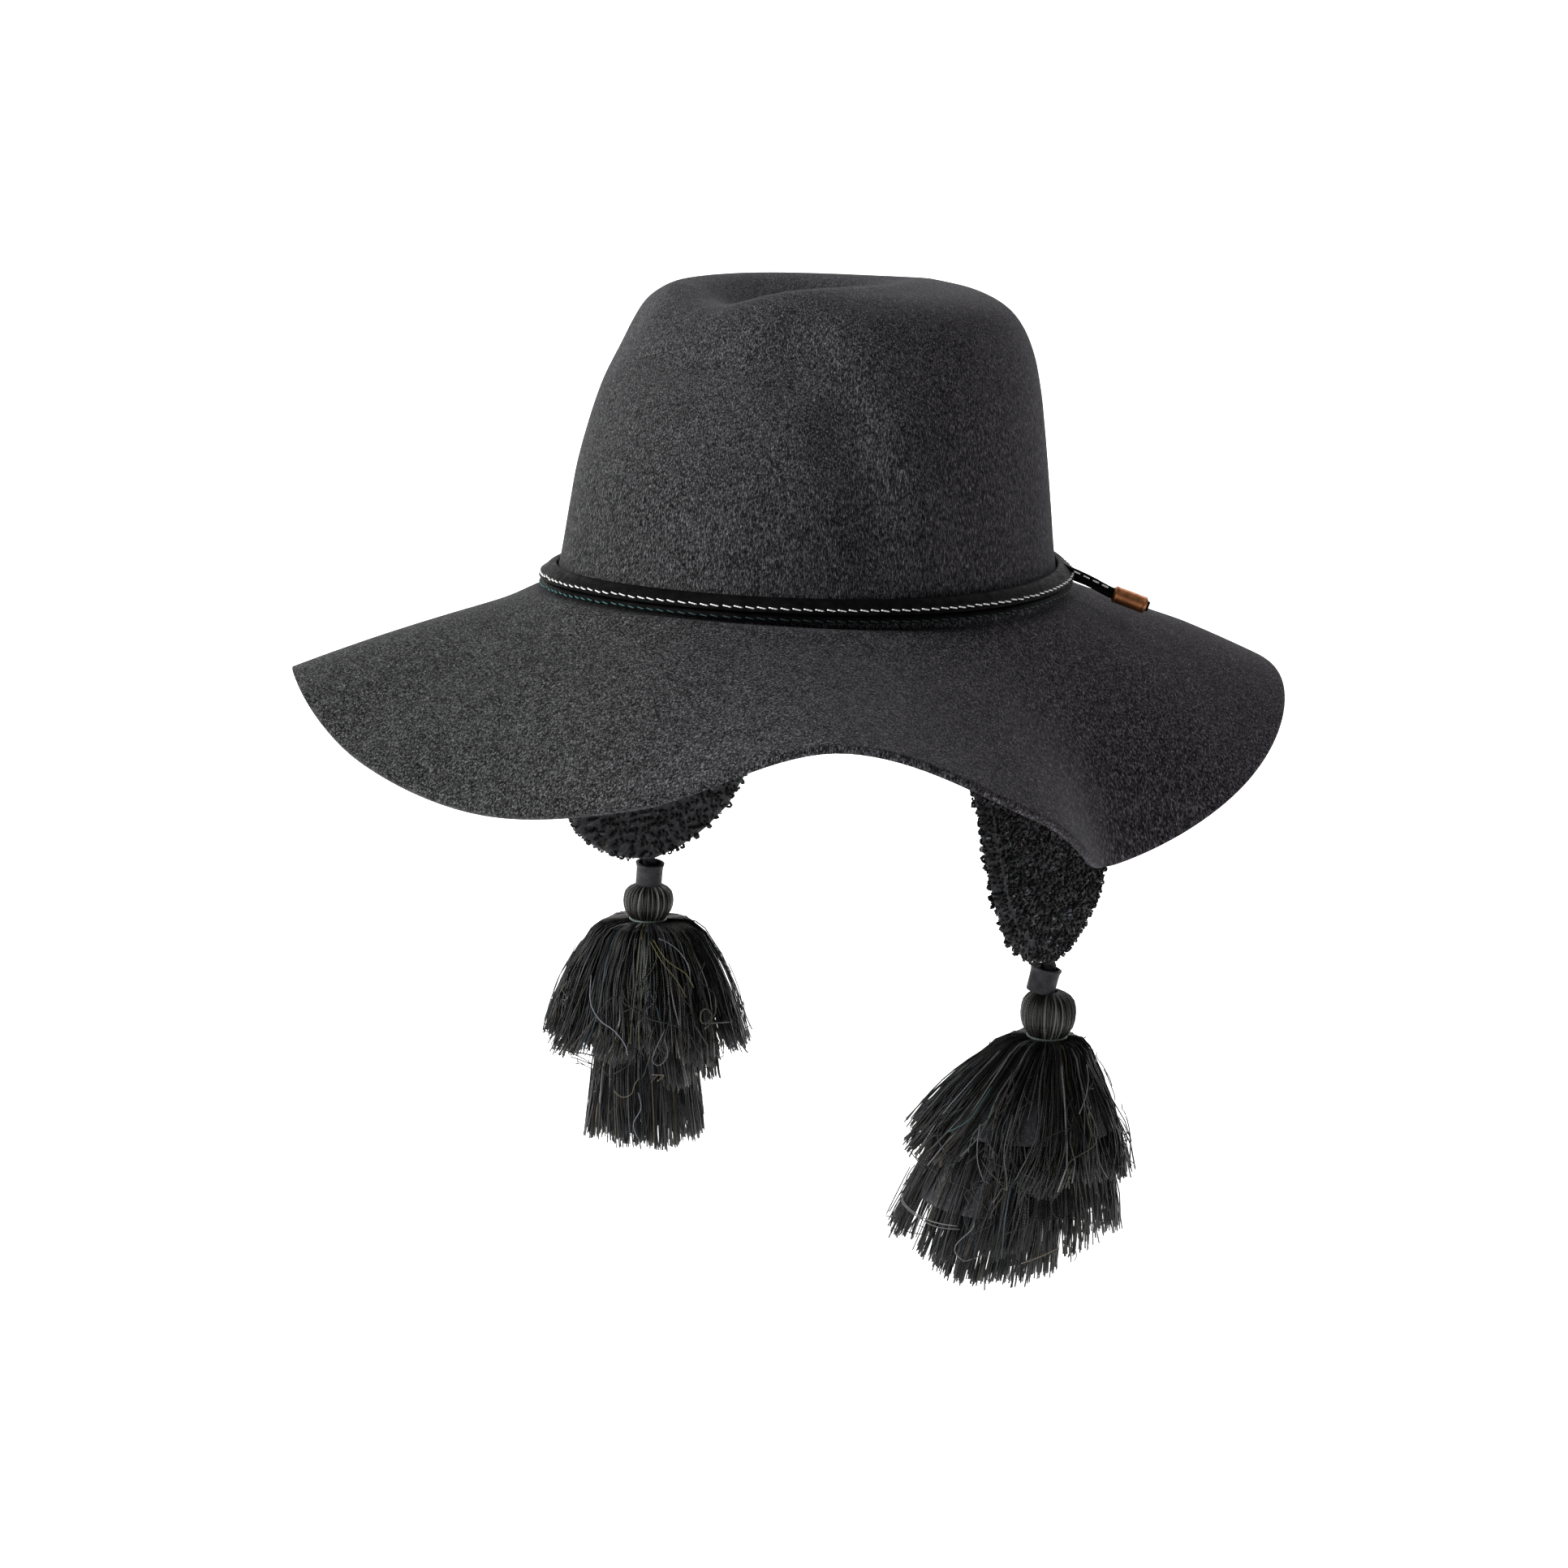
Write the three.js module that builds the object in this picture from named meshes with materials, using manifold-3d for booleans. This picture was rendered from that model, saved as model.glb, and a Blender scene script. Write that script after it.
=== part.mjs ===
// Wide-brim felt hat with a stitched leather lace, knitted ear flaps and thread tassels.
// Millimetres, +Z up. The origin is the centre of the head opening, level with its front and back.
// The wearer faces -Y, and the wearer's left is +X. Azimuths run from the front (0) to the left (90).
import * as THREE from 'three';
import { mergeVertices } from 'three/addons/utils/BufferGeometryUtils.js';
import Module from 'manifold-3d';

const wasm = await Module();
wasm.setup();

// Driving sizes of the felt
const feltWall = 2.5;
const brimWidth = 91.8;
const sideBreakDrop = 3.5;
const breakDropReach = 25;
const feltSegments = 60;

// Outer half-lengths of the crown from the break line up to the crest, before the dents
const crownRows = [
  { z: 0, front: 99.5, back: 100.5, side: 84.5 },
  { z: 8, front: 96.2, back: 97.5, side: 81.2 },
  { z: 28, front: 91.5, back: 95, side: 78.8 },
  { z: 42, front: 88, back: 93.4, side: 77.2 },
  { z: 56, front: 82, back: 92.2, side: 75.2 },
  { z: 68, front: 75.5, back: 91.3, side: 73 },
  { z: 80, front: 67.4, back: 89.5, side: 69.7 },
  { z: 90, front: 63.5, back: 84.5, side: 65.5 },
  { z: 97, front: 60.5, back: 76, side: 60.5 },
  { z: 102, front: 56, back: 64, side: 52.5 },
  { z: 105, front: 50, back: 49, side: 42.5 },
  { z: 107, front: 37.5, back: 35, side: 31 },
  { z: 108.3, front: 16, back: 18, side: 15 },
];
const crestHeight = 108.7;
const crownRings = [0, 1, 2, 3, 4, 5, 6, 7, 8, 9, 10, 10.6, 11.2, 12];

// Places pressed in or out of the crown: centre, reach along X, Y and Z, depth, and the way they are pushed
const crownDents = [
  { name: 'top crease', x: -4, y: -7, z: 108, reach: [40, 61, 60], depth: 19, push: [0, 0, -1] },
  { name: 'front dip', x: -15, y: -65, z: 102, reach: [50, 35, 40], depth: 6, push: [0, 0, -1] },
  { name: 'left shoulder', x: 44, y: 0, z: 104, reach: [30, 60, 30], depth: 1.3, push: [0, 0, -1] },
  { name: 'right pinch', x: -46, y: -46, z: 93, reach: [28, 30, 24], depth: 3, push: [0.6, 0.7, -0.2] },
  { name: 'valley top', x: 34, y: -62, z: 76, reach: [20, 22, 34], depth: 1.6, push: [-0.5, 0.85, 0] },
  { name: 'valley middle', x: 46, y: -66, z: 52, reach: [18, 20, 32], depth: 1.6, push: [-0.6, 0.8, 0] },
  { name: 'valley foot', x: 55, y: -65, z: 34, reach: [16, 20, 24], depth: 1.3, push: [-0.65, 0.75, 0] },
  { name: 'left swell', x: 69, y: -44, z: 50, reach: [17, 20, 34], depth: 1.3, push: [0.8, -0.5, 0] },
];

// Fall of the brim below level at the break line and at its cut edge, in degrees, every 22.5 degrees
const brimRows = [
  { azimuth: 0, start: 25.3, end: 49.7 },
  { azimuth: 22.5, start: 14.6, end: 45.6 },
  { azimuth: 45, start: 12, end: 14.7 },
  { azimuth: 67.5, start: 25.7, end: 36.8 },
  { azimuth: 90, start: 42, end: 76.6 },
  { azimuth: 112.5, start: 27.6, end: 52.3 },
  { azimuth: 135, start: 17.6, end: 27.6 },
  { azimuth: 157.5, start: 16.3, end: 25.5 },
  { azimuth: 180, start: 13, end: 31.5 },
  { azimuth: 202.5, start: 11, end: 29 },
  { azimuth: 225, start: 11, end: 27.2 },
  { azimuth: 247.5, start: 27.8, end: 47 },
  { azimuth: 270, start: 38.3, end: 64.9 },
  { azimuth: 292.5, start: 20.7, end: 46.4 },
  { azimuth: 315, start: 12.7, end: 21 },
  { azimuth: 337.5, start: 24.9, end: 36 },
];
const brimRings = [0.07, 0.17, 0.31, 0.47, 0.64, 0.82, 1];

const radians = (degrees) => degrees * Math.PI / 180;

// Values of every column at a position between the rows of a table, on a Catmull-Rom curve
function rowAt(rows, position, closed = false) {
  const last = rows.length - 1;
  const first = closed ? Math.floor(position) : Math.min(Math.floor(position), last - 1);
  const part = position - first;
  const row = (i) => (closed ? rows[(i + rows.length) % rows.length] : rows[THREE.MathUtils.clamp(i, 0, last)]);
  const blended = {};
  for (const column of Object.keys(rows[0])) {
    const [a, b, c, d] = [-1, 0, 1, 2].map((step) => row(first + step)[column]);
    blended[column] = b + 0.5 * part * (c - a + part * (2 * a - 5 * b + 4 * c - d + part * (3 * (b - c) + d - a)));
  }
  return blended;
}

// Value of one column where another column reaches a given number, along straight lines between rows
function columnAt(rows, given, column, value) {
  const next = Math.max(1, rows.findIndex((row) => row[given] >= value));
  const [a, b] = [rows[next - 1], rows[next]];
  return THREE.MathUtils.mapLinear(value, a[given], b[given], a[column], b[column]);
}

// A closed body from points and triangles, turned inside out where its volume comes out negative
function body(points, triangles) {
  let volume = 0;
  for (const [a, b, c] of triangles) volume += points[a].dot(points[b].clone().cross(points[c]));
  const faces = volume < 0 ? triangles.map(([a, b, c]) => [a, c, b]) : triangles;
  const geometry = new THREE.BufferGeometry().setFromPoints(points);
  geometry.setIndex(faces.flat());
  geometry.computeVertexNormals();
  return geometry;
}

// Triangles that join two rings of equal length, whose first points are at indices a and b
function joinRings(a, b, count) {
  const faces = [];
  for (let j = 0; j < count; j += 1) {
    const k = (j + 1) % count;
    faces.push([a + j, a + k, b + k], [a + j, b + k, b + j]);
  }
  return faces;
}

// A solid skinned over rings of points: closed on itself like a hoop, or with a fan at each end
function skin(rings, hoop = false) {
  const count = rings[0].length;
  const points = rings.flat();
  const faces = [];
  for (let i = 0; i + 1 < rings.length; i += 1) faces.push(...joinRings(i * count, (i + 1) * count, count));
  if (hoop) {
    faces.push(...joinRings((rings.length - 1) * count, 0, count));
    return body(points, faces);
  }
  const foot = (rings.length - 1) * count;
  for (let j = 1; j + 1 < count; j += 1) faces.push([0, j + 1, j], [foot, foot + j, foot + j + 1]);
  return body(points, faces);
}

function toManifold(geometry) {
  const bare = geometry.clone();
  bare.deleteAttribute('normal');
  bare.deleteAttribute('uv');
  const merged = mergeVertices(bare, 1e-4);
  return new wasm.Manifold(new wasm.Mesh({
    numProp: 3,
    vertProperties: new Float32Array(merged.attributes.position.array),
    triVerts: new Uint32Array(merged.index.array),
  }));
}

function fuse(geometries) {
  const whole = geometries.map(toManifold).reduce((sum, next) => sum.add(next));
  const mesh = whole.getMesh();
  const geometry = new THREE.BufferGeometry();
  geometry.setAttribute('position', new THREE.BufferAttribute(mesh.vertProperties, 3));
  geometry.setIndex(new THREE.BufferAttribute(mesh.triVerts, 1));
  geometry.computeVertexNormals();
  return geometry;
}

// The break line and the crown wall are egg ovals whose front and back halves have their own length
function ovalPoint({ front, back, side }, turn) {
  const forward = Math.cos(turn);
  return new THREE.Vector3(side * Math.sin(turn), -(forward > 0 ? front : back) * forward, 0);
}

function ovalOutward({ front, back, side }, turn) {
  const forward = Math.cos(turn);
  return new THREE.Vector3(Math.sin(turn) / side, -forward / (forward > 0 ? front : back), 0).normalize();
}

function breakLevel(turn) {
  return -sideBreakDrop * Math.sin(turn) ** 2;
}

// The drop of the break line at the sides fades out with the height above it
function levelAt(z, turn) {
  return z + breakLevel(turn) * Math.exp(-z / breakDropReach);
}

function pressDents(point) {
  const pressed = point.clone();
  for (const dent of crownDents) {
    const [reachX, reachY, reachZ] = dent.reach;
    const away = Math.hypot((point.x - dent.x) / reachX, (point.y - dent.y) / reachY, (point.z - dent.z) / reachZ);
    if (away >= 1) continue;
    const share = Math.cos(away * Math.PI / 2) ** 2;
    pressed.addScaledVector(new THREE.Vector3(...dent.push), dent.depth * share);
  }
  return pressed;
}

function crownPoint(position, turn) {
  const row = rowAt(crownRows, position);
  const point = ovalPoint(row, turn);
  point.z = levelAt(row.z, turn);
  return pressDents(point);
}

// The brim leaves the break line square to it and bends down evenly along its width
function brimPoint(share, turn) {
  const edge = crownRows[0];
  const outward = ovalOutward(edge, turn);
  const azimuth = (Math.atan2(outward.x, -outward.y) + 2 * Math.PI) % (2 * Math.PI);
  const fall = rowAt(brimRows, azimuth / (2 * Math.PI) * brimRows.length, true);
  const point = ovalPoint(edge, turn).setZ(breakLevel(turn));
  const steps = 24;
  for (let i = 0; i < steps; i += 1) {
    const along = share * (i + 0.5) / steps;
    const slope = radians(THREE.MathUtils.lerp(fall.start, fall.end, along));
    point.addScaledVector(outward, Math.cos(slope) * brimWidth * share / steps);
    point.z -= Math.sin(slope) * brimWidth * share / steps;
  }
  return point;
}

// Crown and brim are one blocked felt: an outer skin, the same skin moved in by the wall, and the cut edge
function feltGeometry() {
  const turns = Array.from({ length: feltSegments }, (_, j) => 2 * Math.PI * j / feltSegments);
  const outer = [
    ...crownRings.toReversed().map((position) => turns.map((turn) => crownPoint(position, turn))),
    ...brimRings.map((share) => turns.map((turn) => brimPoint(share, turn))),
  ];
  const crest = pressDents(new THREE.Vector3(0, 0, crestHeight));
  const inner = outer.map((ring, i) => ring.map((point, j) => {
    const around = ring[(j + 1) % feltSegments].clone().sub(ring[(j + feltSegments - 1) % feltSegments]);
    const above = i > 0 ? outer[i - 1][j] : crest;
    const below = outer[Math.min(i + 1, outer.length - 1)][j];
    const outwards = below.clone().sub(above).cross(around).normalize();
    return point.clone().addScaledVector(outwards, -feltWall);
  }));
  const innerCrest = crest.clone().setZ(crest.z - feltWall);
  const points = [...outer.flat(), ...inner.flat(), crest, innerCrest];
  const innerStart = outer.length * feltSegments;
  const faces = [];
  for (let i = 0; i + 1 < outer.length; i += 1) {
    const [a, b] = [i * feltSegments, (i + 1) * feltSegments];
    faces.push(...joinRings(a, b, feltSegments));
    faces.push(...joinRings(innerStart + b, innerStart + a, feltSegments));
  }
  faces.push(...joinRings(innerStart - feltSegments, 2 * innerStart - feltSegments, feltSegments));
  const crestIndex = 2 * innerStart;
  for (let j = 0; j < feltSegments; j += 1) {
    const k = (j + 1) % feltSegments;
    faces.push([crestIndex, k, j], [crestIndex + 1, innerStart + j, innerStart + k]);
  }
  return body(points, faces);
}

// The leather lace: folded, so that it has a round back and a stitched lip, and wound twice round the crown.
// Its section is distance out from the felt and height above the break line; a groove parts the two turns.
const laceGap = 0.35;
const laceSection = [
  { out: 0, z: 1.4 }, { out: 0, z: 8.6 }, { out: 1.4, z: 10 }, { out: 3.4, z: 9.6 }, { out: 4.7, z: 7.4 },
  { out: 4.9, z: 5 }, { out: 2.7, z: 4.5 }, { out: 3.6, z: 2.4 }, { out: 2.6, z: 1.4 },
];

// The two free ends leave the turns behind the left side and lie in a copper tube on the brim
const tailAzimuth = 127;
const tailStart = { out: 1.5, z: 6.6 };
const beadEnd = { out: 17.5, z: -1.2 };
const tailHeading = { azimuth: 124, fall: 19 };
const tailWidth = 2.1;
const tailHeight = 3.4;
const tailPast = 1.4;
const bead = { length: 11.6, outer: 2.9, bore: 2.3, lip: 0.25, segments: 16 };

function crownWall(z, turn) {
  const row = { front: 0, back: 0, side: 0 };
  for (const column of Object.keys(row)) row[column] = columnAt(crownRows, 'z', column, Math.max(z, 0));
  return { point: ovalPoint(row, turn), outward: ovalOutward(row, turn) };
}

function lacePoint({ out, z }, turn) {
  const wall = crownWall(z, turn);
  const point = wall.point.addScaledVector(wall.outward, out + laceGap);
  return point.setZ(levelAt(z, turn));
}

function laceHoop() {
  const rings = [];
  for (let j = 0; j < feltSegments; j += 1) {
    const turn = 2 * Math.PI * j / feltSegments;
    rings.push(laceSection.map((corner) => lacePoint(corner, turn)));
  }
  return skin(rings, true);
}

// Where the tails run: from inside the turns to the near end of the bead, and on along its axis
function tailLine() {
  const turn = radians(tailAzimuth);
  const start = lacePoint(tailStart, turn);
  const nearEnd = lacePoint(beadEnd, turn);
  const heading = radians(tailHeading.azimuth);
  const fall = radians(tailHeading.fall);
  const axis = new THREE.Vector3(
    Math.sin(heading) * Math.cos(fall), -Math.cos(heading) * Math.cos(fall), -Math.sin(fall));
  return { start, nearEnd, axis };
}

function laceGeometry() {
  const { start, nearEnd, axis } = tailLine();
  const end = nearEnd.clone().addScaledVector(axis, bead.length + tailPast);
  const across = axis.clone().cross(new THREE.Vector3(0, 0, 1)).normalize();
  const up = across.clone().cross(axis).normalize();
  const ring = (middle) => {
    const corners = [];
    for (const [side, height] of [[-1, -1], [1, -1], [1, 1], [-1, 1]]) {
      corners.push(middle.clone().addScaledVector(across, side * tailWidth / 2)
        .addScaledVector(up, height * tailHeight / 2));
    }
    return corners;
  };
  const tails = skin([start, nearEnd, end].map(ring));
  return fuse([laceHoop(), tails]);
}

// A rolled copper tube with a thickened rim at each end, slid and pressed onto the tails
function beadGeometry() {
  const profile = [
    [bead.bore, 0], [bead.outer - bead.lip, 0], [bead.outer, bead.lip],
    [bead.outer, bead.length - bead.lip], [bead.outer - bead.lip, bead.length], [bead.bore, bead.length],
    [bead.bore, 0],
  ].map(([radius, height]) => new THREE.Vector2(radius, height));
  const tube = new THREE.LatheGeometry(profile, bead.segments);
  const { nearEnd, axis } = tailLine();
  tube.applyQuaternion(new THREE.Quaternion().setFromUnitVectors(new THREE.Vector3(0, 1, 0), axis));
  return tube.translate(nearEnd.x, nearEnd.y, nearEnd.z);
}

// Knitted ear flaps, mirrored: each hangs from inside the crown and flattens towards its tip
const flapThickness = 7;
const flapTopZ = 20;
const flapMiddle = { front: 86.5, back: 89.1, side: 72.9 };
const flapCentreY = 24.5;
const flapTipX = 91;
const flapTurnOut = 8.5;
const flapFlatZ = -70;
const flapSpreadZ = -130;
const flapThinning = 0.6;
const flapRoundness = { across: 0.7, through: 0.5 };
const flapNeck = { half: 2.9, length: 4.4 };
const flapRingPoints = 18;
const flapOutline = [
  { above: 0, half: 3 }, { above: 2.5, half: 15.5 }, { above: 8, half: 28.5 }, { above: 16, half: 39.4 },
  { above: 28, half: 46.7 }, { above: 44, half: 52.5 }, { above: 66, half: 57.5 }, { above: 95, half: 61 },
  { above: 125, half: 63 }, { above: 155, half: 64 },
];

// Both sides of the hat: the height of the flap's tip, how far the flap leans back for each millimetre of
// height, how far below the tip the sleeve hangs, how far the tassel's foot swings along X and Y, and the half
// width and height of its ball
const sides = [
  {
    name: 'left', hand: 1, tipZ: -126, lean: 0.17, sleeveGap: 2.7, swing: [-12.5, -9.5],
    ball: { half: 9.3, height: 15.4 },
  },
  {
    name: 'right', hand: -1, tipZ: -118.5, lean: 0, sleeveGap: 1.6, swing: [0, 0],
    ball: { half: 9.1, height: 12.8 },
  },
];

// Middle of the knit at a distance along the flap's width and a height, on the left side
function flapPoint(along, z) {
  const crownTurn = Math.PI / 2 + (flapCentreY + along) / flapMiddle.back;
  const curved = ovalPoint(flapMiddle, crownTurn);
  const out = THREE.MathUtils.smoothstep(-z, 0, -flapSpreadZ);
  const flatX = THREE.MathUtils.lerp(flapMiddle.side, flapTipX, out);
  const turnOut = radians(flapTurnOut);
  const flat = new THREE.Vector3(flatX - Math.sin(turnOut) * along, flapCentreY + Math.cos(turnOut) * along, 0);
  return curved.lerp(flat, THREE.MathUtils.smoothstep(-z, 0, -flapFlatZ)).setZ(z);
}

function flapOutward(along, z) {
  const step = flapPoint(along + 1, z).sub(flapPoint(along - 1, z));
  return new THREE.Vector3(step.y, -step.x, 0).normalize();
}

function flapRing(z, half, thick, shift) {
  const ring = [];
  for (let k = 0; k < flapRingPoints; k += 1) {
    const angle = 2 * Math.PI * (k + 0.5) / flapRingPoints;
    const [c, s] = [Math.cos(angle), Math.sin(angle)];
    const along = shift + half * Math.sign(c) * Math.abs(c) ** flapRoundness.across;
    const depth = thick / 2 * Math.sign(s) * Math.abs(s) ** flapRoundness.through;
    ring.push(flapPoint(along, z).addScaledVector(flapOutward(along, z), depth));
  }
  return ring;
}

function flapGeometry({ hand, tipZ, lean }) {
  const rings = [flapRing(tipZ - flapNeck.length, flapNeck.half, 2 * flapNeck.half, 0)];
  for (const { above, half } of flapOutline) {
    const z = Math.min(tipZ + above, flapTopZ);
    const thick = above < 1 ? 2 * flapNeck.half : Math.min(flapThickness, half * flapThinning);
    rings.push(flapRing(z, half, thick, lean * (z - tipZ)));
    if (z === flapTopZ) break;
  }
  const mirror = new THREE.Vector3(hand, 1, 1);
  return skin(rings.map((ring) => ring.map((point) => point.multiply(mirror))));
}

// Tassel: a leather sleeve over the yarn, a ball of thread, a tied neck and skirts of hanging locks
const sleeve = { length: 8.8, outer: 5.1, bore: 3.9, flare: 0.5, flareFrom: 0.8, segments: 12 };
const ball = { neck: 6.1, stalk: 3.4, stalkHeight: 4, stalkSeat: 0.4, segments: 14 };
// The ball's outline from below, as shares of its half width and height
const ballOutline = [
  { width: 0.9, drop: 0.75 }, { width: 1, drop: 0.5 }, { width: 0.95, drop: 0.32 }, { width: 0.62, drop: 0.07 },
];
const binding = { wire: 0.6, gap: 0.36, below: 0.5 };
const neckLength = 2.4;
const skirts = {
  left: [
    { locks: 12, length: 55, spread: 42, ragged: 6 },
    { locks: 9, length: 84, spread: 38.5, ragged: 5 },
    { locks: 7, length: 98.5, spread: 22, ragged: 2.5 },
  ],
  right: [
    { locks: 12, length: 59, spread: 40.5, ragged: 6 },
    { locks: 8, length: 97.5, spread: 23.5, ragged: 2.5 },
  ],
};
const skirtSteps = [0, 0.1, 0.4, 1];
const skirtHollow = { radius: 1.5, above: 18 };
const tierTwist = 0.07;
const skirtRounding = 0.43;
// The four points round each lock: how far they sink in at its foot, and how much shorter they end
const lockPoints = [
  { groove: 0.18, shorter: 7 }, { groove: 0.03, shorter: 0.6 },
  { groove: 0, shorter: 0 }, { groove: 0.03, shorter: 0.6 },
];

function tasselTop({ hand, tipZ, sleeveGap }) {
  const tip = flapPoint(0, tipZ);
  return new THREE.Vector3(hand * tip.x, tip.y, tipZ - sleeveGap - sleeve.length);
}

function sleeveGeometry(side) {
  const profile = [
    [sleeve.bore, 0], [sleeve.outer, 0], [sleeve.outer, sleeve.length * sleeve.flareFrom],
    [sleeve.outer + sleeve.flare, sleeve.length], [sleeve.bore + sleeve.flare, sleeve.length], [sleeve.bore, 0],
  ].map(([radius, height]) => new THREE.Vector2(radius, height));
  const tube = new THREE.LatheGeometry(profile, sleeve.segments).rotateX(Math.PI / 2);
  const top = tasselTop(side);
  return tube.translate(top.x, top.y, top.z);
}

// One tier of locks that leave the neck side by side, arch out and hang, each to a length of its own.
// Every tier starts inside the neck, a little below the one outside it, and is turned against it.
function skirtGeometry({ locks, length, spread, ragged }, tier, ballHeight) {
  const start = ballHeight + neckLength * (0.7 + 0.1 * tier);
  const count = locks * lockPoints.length;
  const ringAt = (radiusAndDrop) => Array.from({ length: count }, (_, i) => {
    const angle = 2 * Math.PI * i / count + tierTwist * (tier + 1);
    const lockLength = length + ragged * Math.sin(Math.floor(i / lockPoints.length) * 2.4);
    const [radius, drop] = radiusAndDrop(lockPoints[i % lockPoints.length], lockLength);
    return new THREE.Vector3(radius * Math.cos(angle), radius * Math.sin(angle), -drop);
  });
  const rings = skirtSteps.map((step) => ringAt(({ groove, shorter }, lockLength) => [
    THREE.MathUtils.lerp(ball.neck - 0.4, spread, step ** skirtRounding) * (1 - groove * step),
    THREE.MathUtils.lerp(start, lockLength - shorter, step),
  ]));
  rings.push(ringAt(() => [skirtHollow.radius, length - skirtHollow.above]));
  return skin(rings);
}

function tasselGeometry(side) {
  const { half, height } = side.ball;
  const profile = [
    [0, -height - neckLength], [ball.neck, -height - neckLength], [ball.neck, -height],
    ...ballOutline.map(({ width, drop }) => [half * width, -height * drop]),
    [ball.stalk, -ball.stalkSeat], [ball.stalk, ball.stalkHeight], [0, ball.stalkHeight],
  ].map(([radius, z]) => new THREE.Vector2(radius, z));
  const head = new THREE.LatheGeometry(profile, ball.segments).rotateX(Math.PI / 2);
  const hanging = skirts[side.name].map((skirt, tier) => skirtGeometry(skirt, tier, height));
  const whole = fuse([head, ...hanging]);
  const top = tasselTop(side);
  const swingLength = skirts[side.name].at(-1).length - height;
  const points = whole.attributes.position;
  for (let i = 0; i < points.count; i += 1) {
    const swing = Math.max(0, -points.getZ(i) - height) / swingLength;
    points.setX(i, points.getX(i) + side.swing[0] * swing);
    points.setY(i, points.getY(i) + side.swing[1] * swing);
  }
  return whole.translate(top.x, top.y, top.z);
}

function bindingGeometry(side) {
  const top = tasselTop(side);
  const ring = new THREE.TorusGeometry(ball.neck + binding.gap + binding.wire, binding.wire, 5, 15);
  return ring.translate(top.x, top.y, top.z - side.ball.height - binding.below);
}

function material(color, roughness, metalness = 0) {
  return new THREE.MeshStandardMaterial({ color, roughness, metalness });
}

const hat = new THREE.Group();

function addPiece(name, geometry, finish) {
  const mesh = new THREE.Mesh(geometry, finish);
  mesh.name = name;
  hat.add(mesh);
}

addPiece('felt_body', feltGeometry(), material(0x3c3c3f, 0.95));
addPiece('leather_lace', laceGeometry(), material(0x1b1b1c, 0.55));
addPiece('lace_bead', beadGeometry(), material(0xa0653c, 0.35, 1));
for (const side of sides) {
  addPiece(`${side.name}_ear_flap`, flapGeometry(side), material(0x1f2023, 1));
  addPiece(`${side.name}_tassel_sleeve`, sleeveGeometry(side), material(0x2a2b2c, 0.5));
  addPiece(`${side.name}_tassel`, tasselGeometry(side), material(0x222423, 0.85));
  addPiece(`${side.name}_tassel_binding`, bindingGeometry(side), material(0x6f7a74, 0.7));
}

export default hat;
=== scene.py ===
import math

import bmesh
import bpy
import numpy as np
from mathutils import Matrix, Vector


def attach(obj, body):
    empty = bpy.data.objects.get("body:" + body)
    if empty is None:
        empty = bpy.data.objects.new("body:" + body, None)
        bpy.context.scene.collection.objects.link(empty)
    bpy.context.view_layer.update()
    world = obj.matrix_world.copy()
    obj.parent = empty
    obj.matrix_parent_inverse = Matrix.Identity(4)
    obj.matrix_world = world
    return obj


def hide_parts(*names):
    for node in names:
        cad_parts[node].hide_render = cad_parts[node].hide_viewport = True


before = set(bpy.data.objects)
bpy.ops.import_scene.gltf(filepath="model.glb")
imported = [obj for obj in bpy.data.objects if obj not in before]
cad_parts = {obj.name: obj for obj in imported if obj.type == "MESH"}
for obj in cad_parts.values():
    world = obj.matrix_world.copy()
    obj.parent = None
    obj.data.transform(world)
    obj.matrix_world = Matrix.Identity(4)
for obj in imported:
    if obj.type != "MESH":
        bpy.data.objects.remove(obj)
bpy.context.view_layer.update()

# Camera, floor and lights
# The camera stands before the wearer's left front, a little above the brim, and leans slightly to one side.
# The floor and the wall behind are one pale sweep. A large soft light stands at the upper left.
VIEW_AZIMUTH = math.radians(37)
VIEW_ELEVATION = math.radians(11.9)
VIEW_ROLL = math.radians(1.4)
VIEW_DISTANCE = 1.225
VIEW_TARGET = Vector((-0.005615, -0.004231, -0.073019))
LENS = 78.97
SENSOR = 36

scene = bpy.context.scene
backward = Vector((math.sin(VIEW_AZIMUTH) * math.cos(VIEW_ELEVATION),
                   -math.cos(VIEW_AZIMUTH) * math.cos(VIEW_ELEVATION), math.sin(VIEW_ELEVATION)))
right = Vector((math.cos(VIEW_AZIMUTH), math.sin(VIEW_AZIMUTH), 0))
upward = backward.cross(right)
camera_x = right * math.cos(VIEW_ROLL) + upward * math.sin(VIEW_ROLL)
camera_y = upward * math.cos(VIEW_ROLL) - right * math.sin(VIEW_ROLL)
camera_data = bpy.data.cameras.new("camera")
camera_data.lens = LENS
camera_data.sensor_width = SENSOR
camera_data.clip_start = 0.05
camera = bpy.data.objects.new("camera", camera_data)
camera.matrix_world = Matrix.Translation(VIEW_TARGET + backward * VIEW_DISTANCE) @ Matrix(
    (camera_x, camera_y, backward)).transposed().to_4x4()
scene.collection.objects.link(camera)
scene.camera = camera

FLOOR_Z = -0.262
SWEEP_SIZE = 3.0
SWEEP_START = 0.9
SWEEP_RADIUS = 0.9
# Shares of the sheet at which its flat part and its curve end
FLAT_SHARE = 0.4
CURVE_SHARE = 0.8
LIGHTS = [
    {"name": "key", "azimuth": -31, "elevation": 28, "distance": 2.2, "size": 1.4, "power": 74},
    {"name": "top", "azimuth": 30, "elevation": 75, "distance": 2.2, "size": 1.2, "power": 11},
    {"name": "rim", "azimuth": 190, "elevation": 45, "distance": 2.4, "size": 1.4, "power": 14},
]


def new_material(name):
    material = bpy.data.materials.new(name)
    material.use_nodes = True
    return material, material.node_tree.nodes, material.node_tree.links


def shader(material):
    return material.node_tree.nodes["Principled BSDF"]


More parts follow.
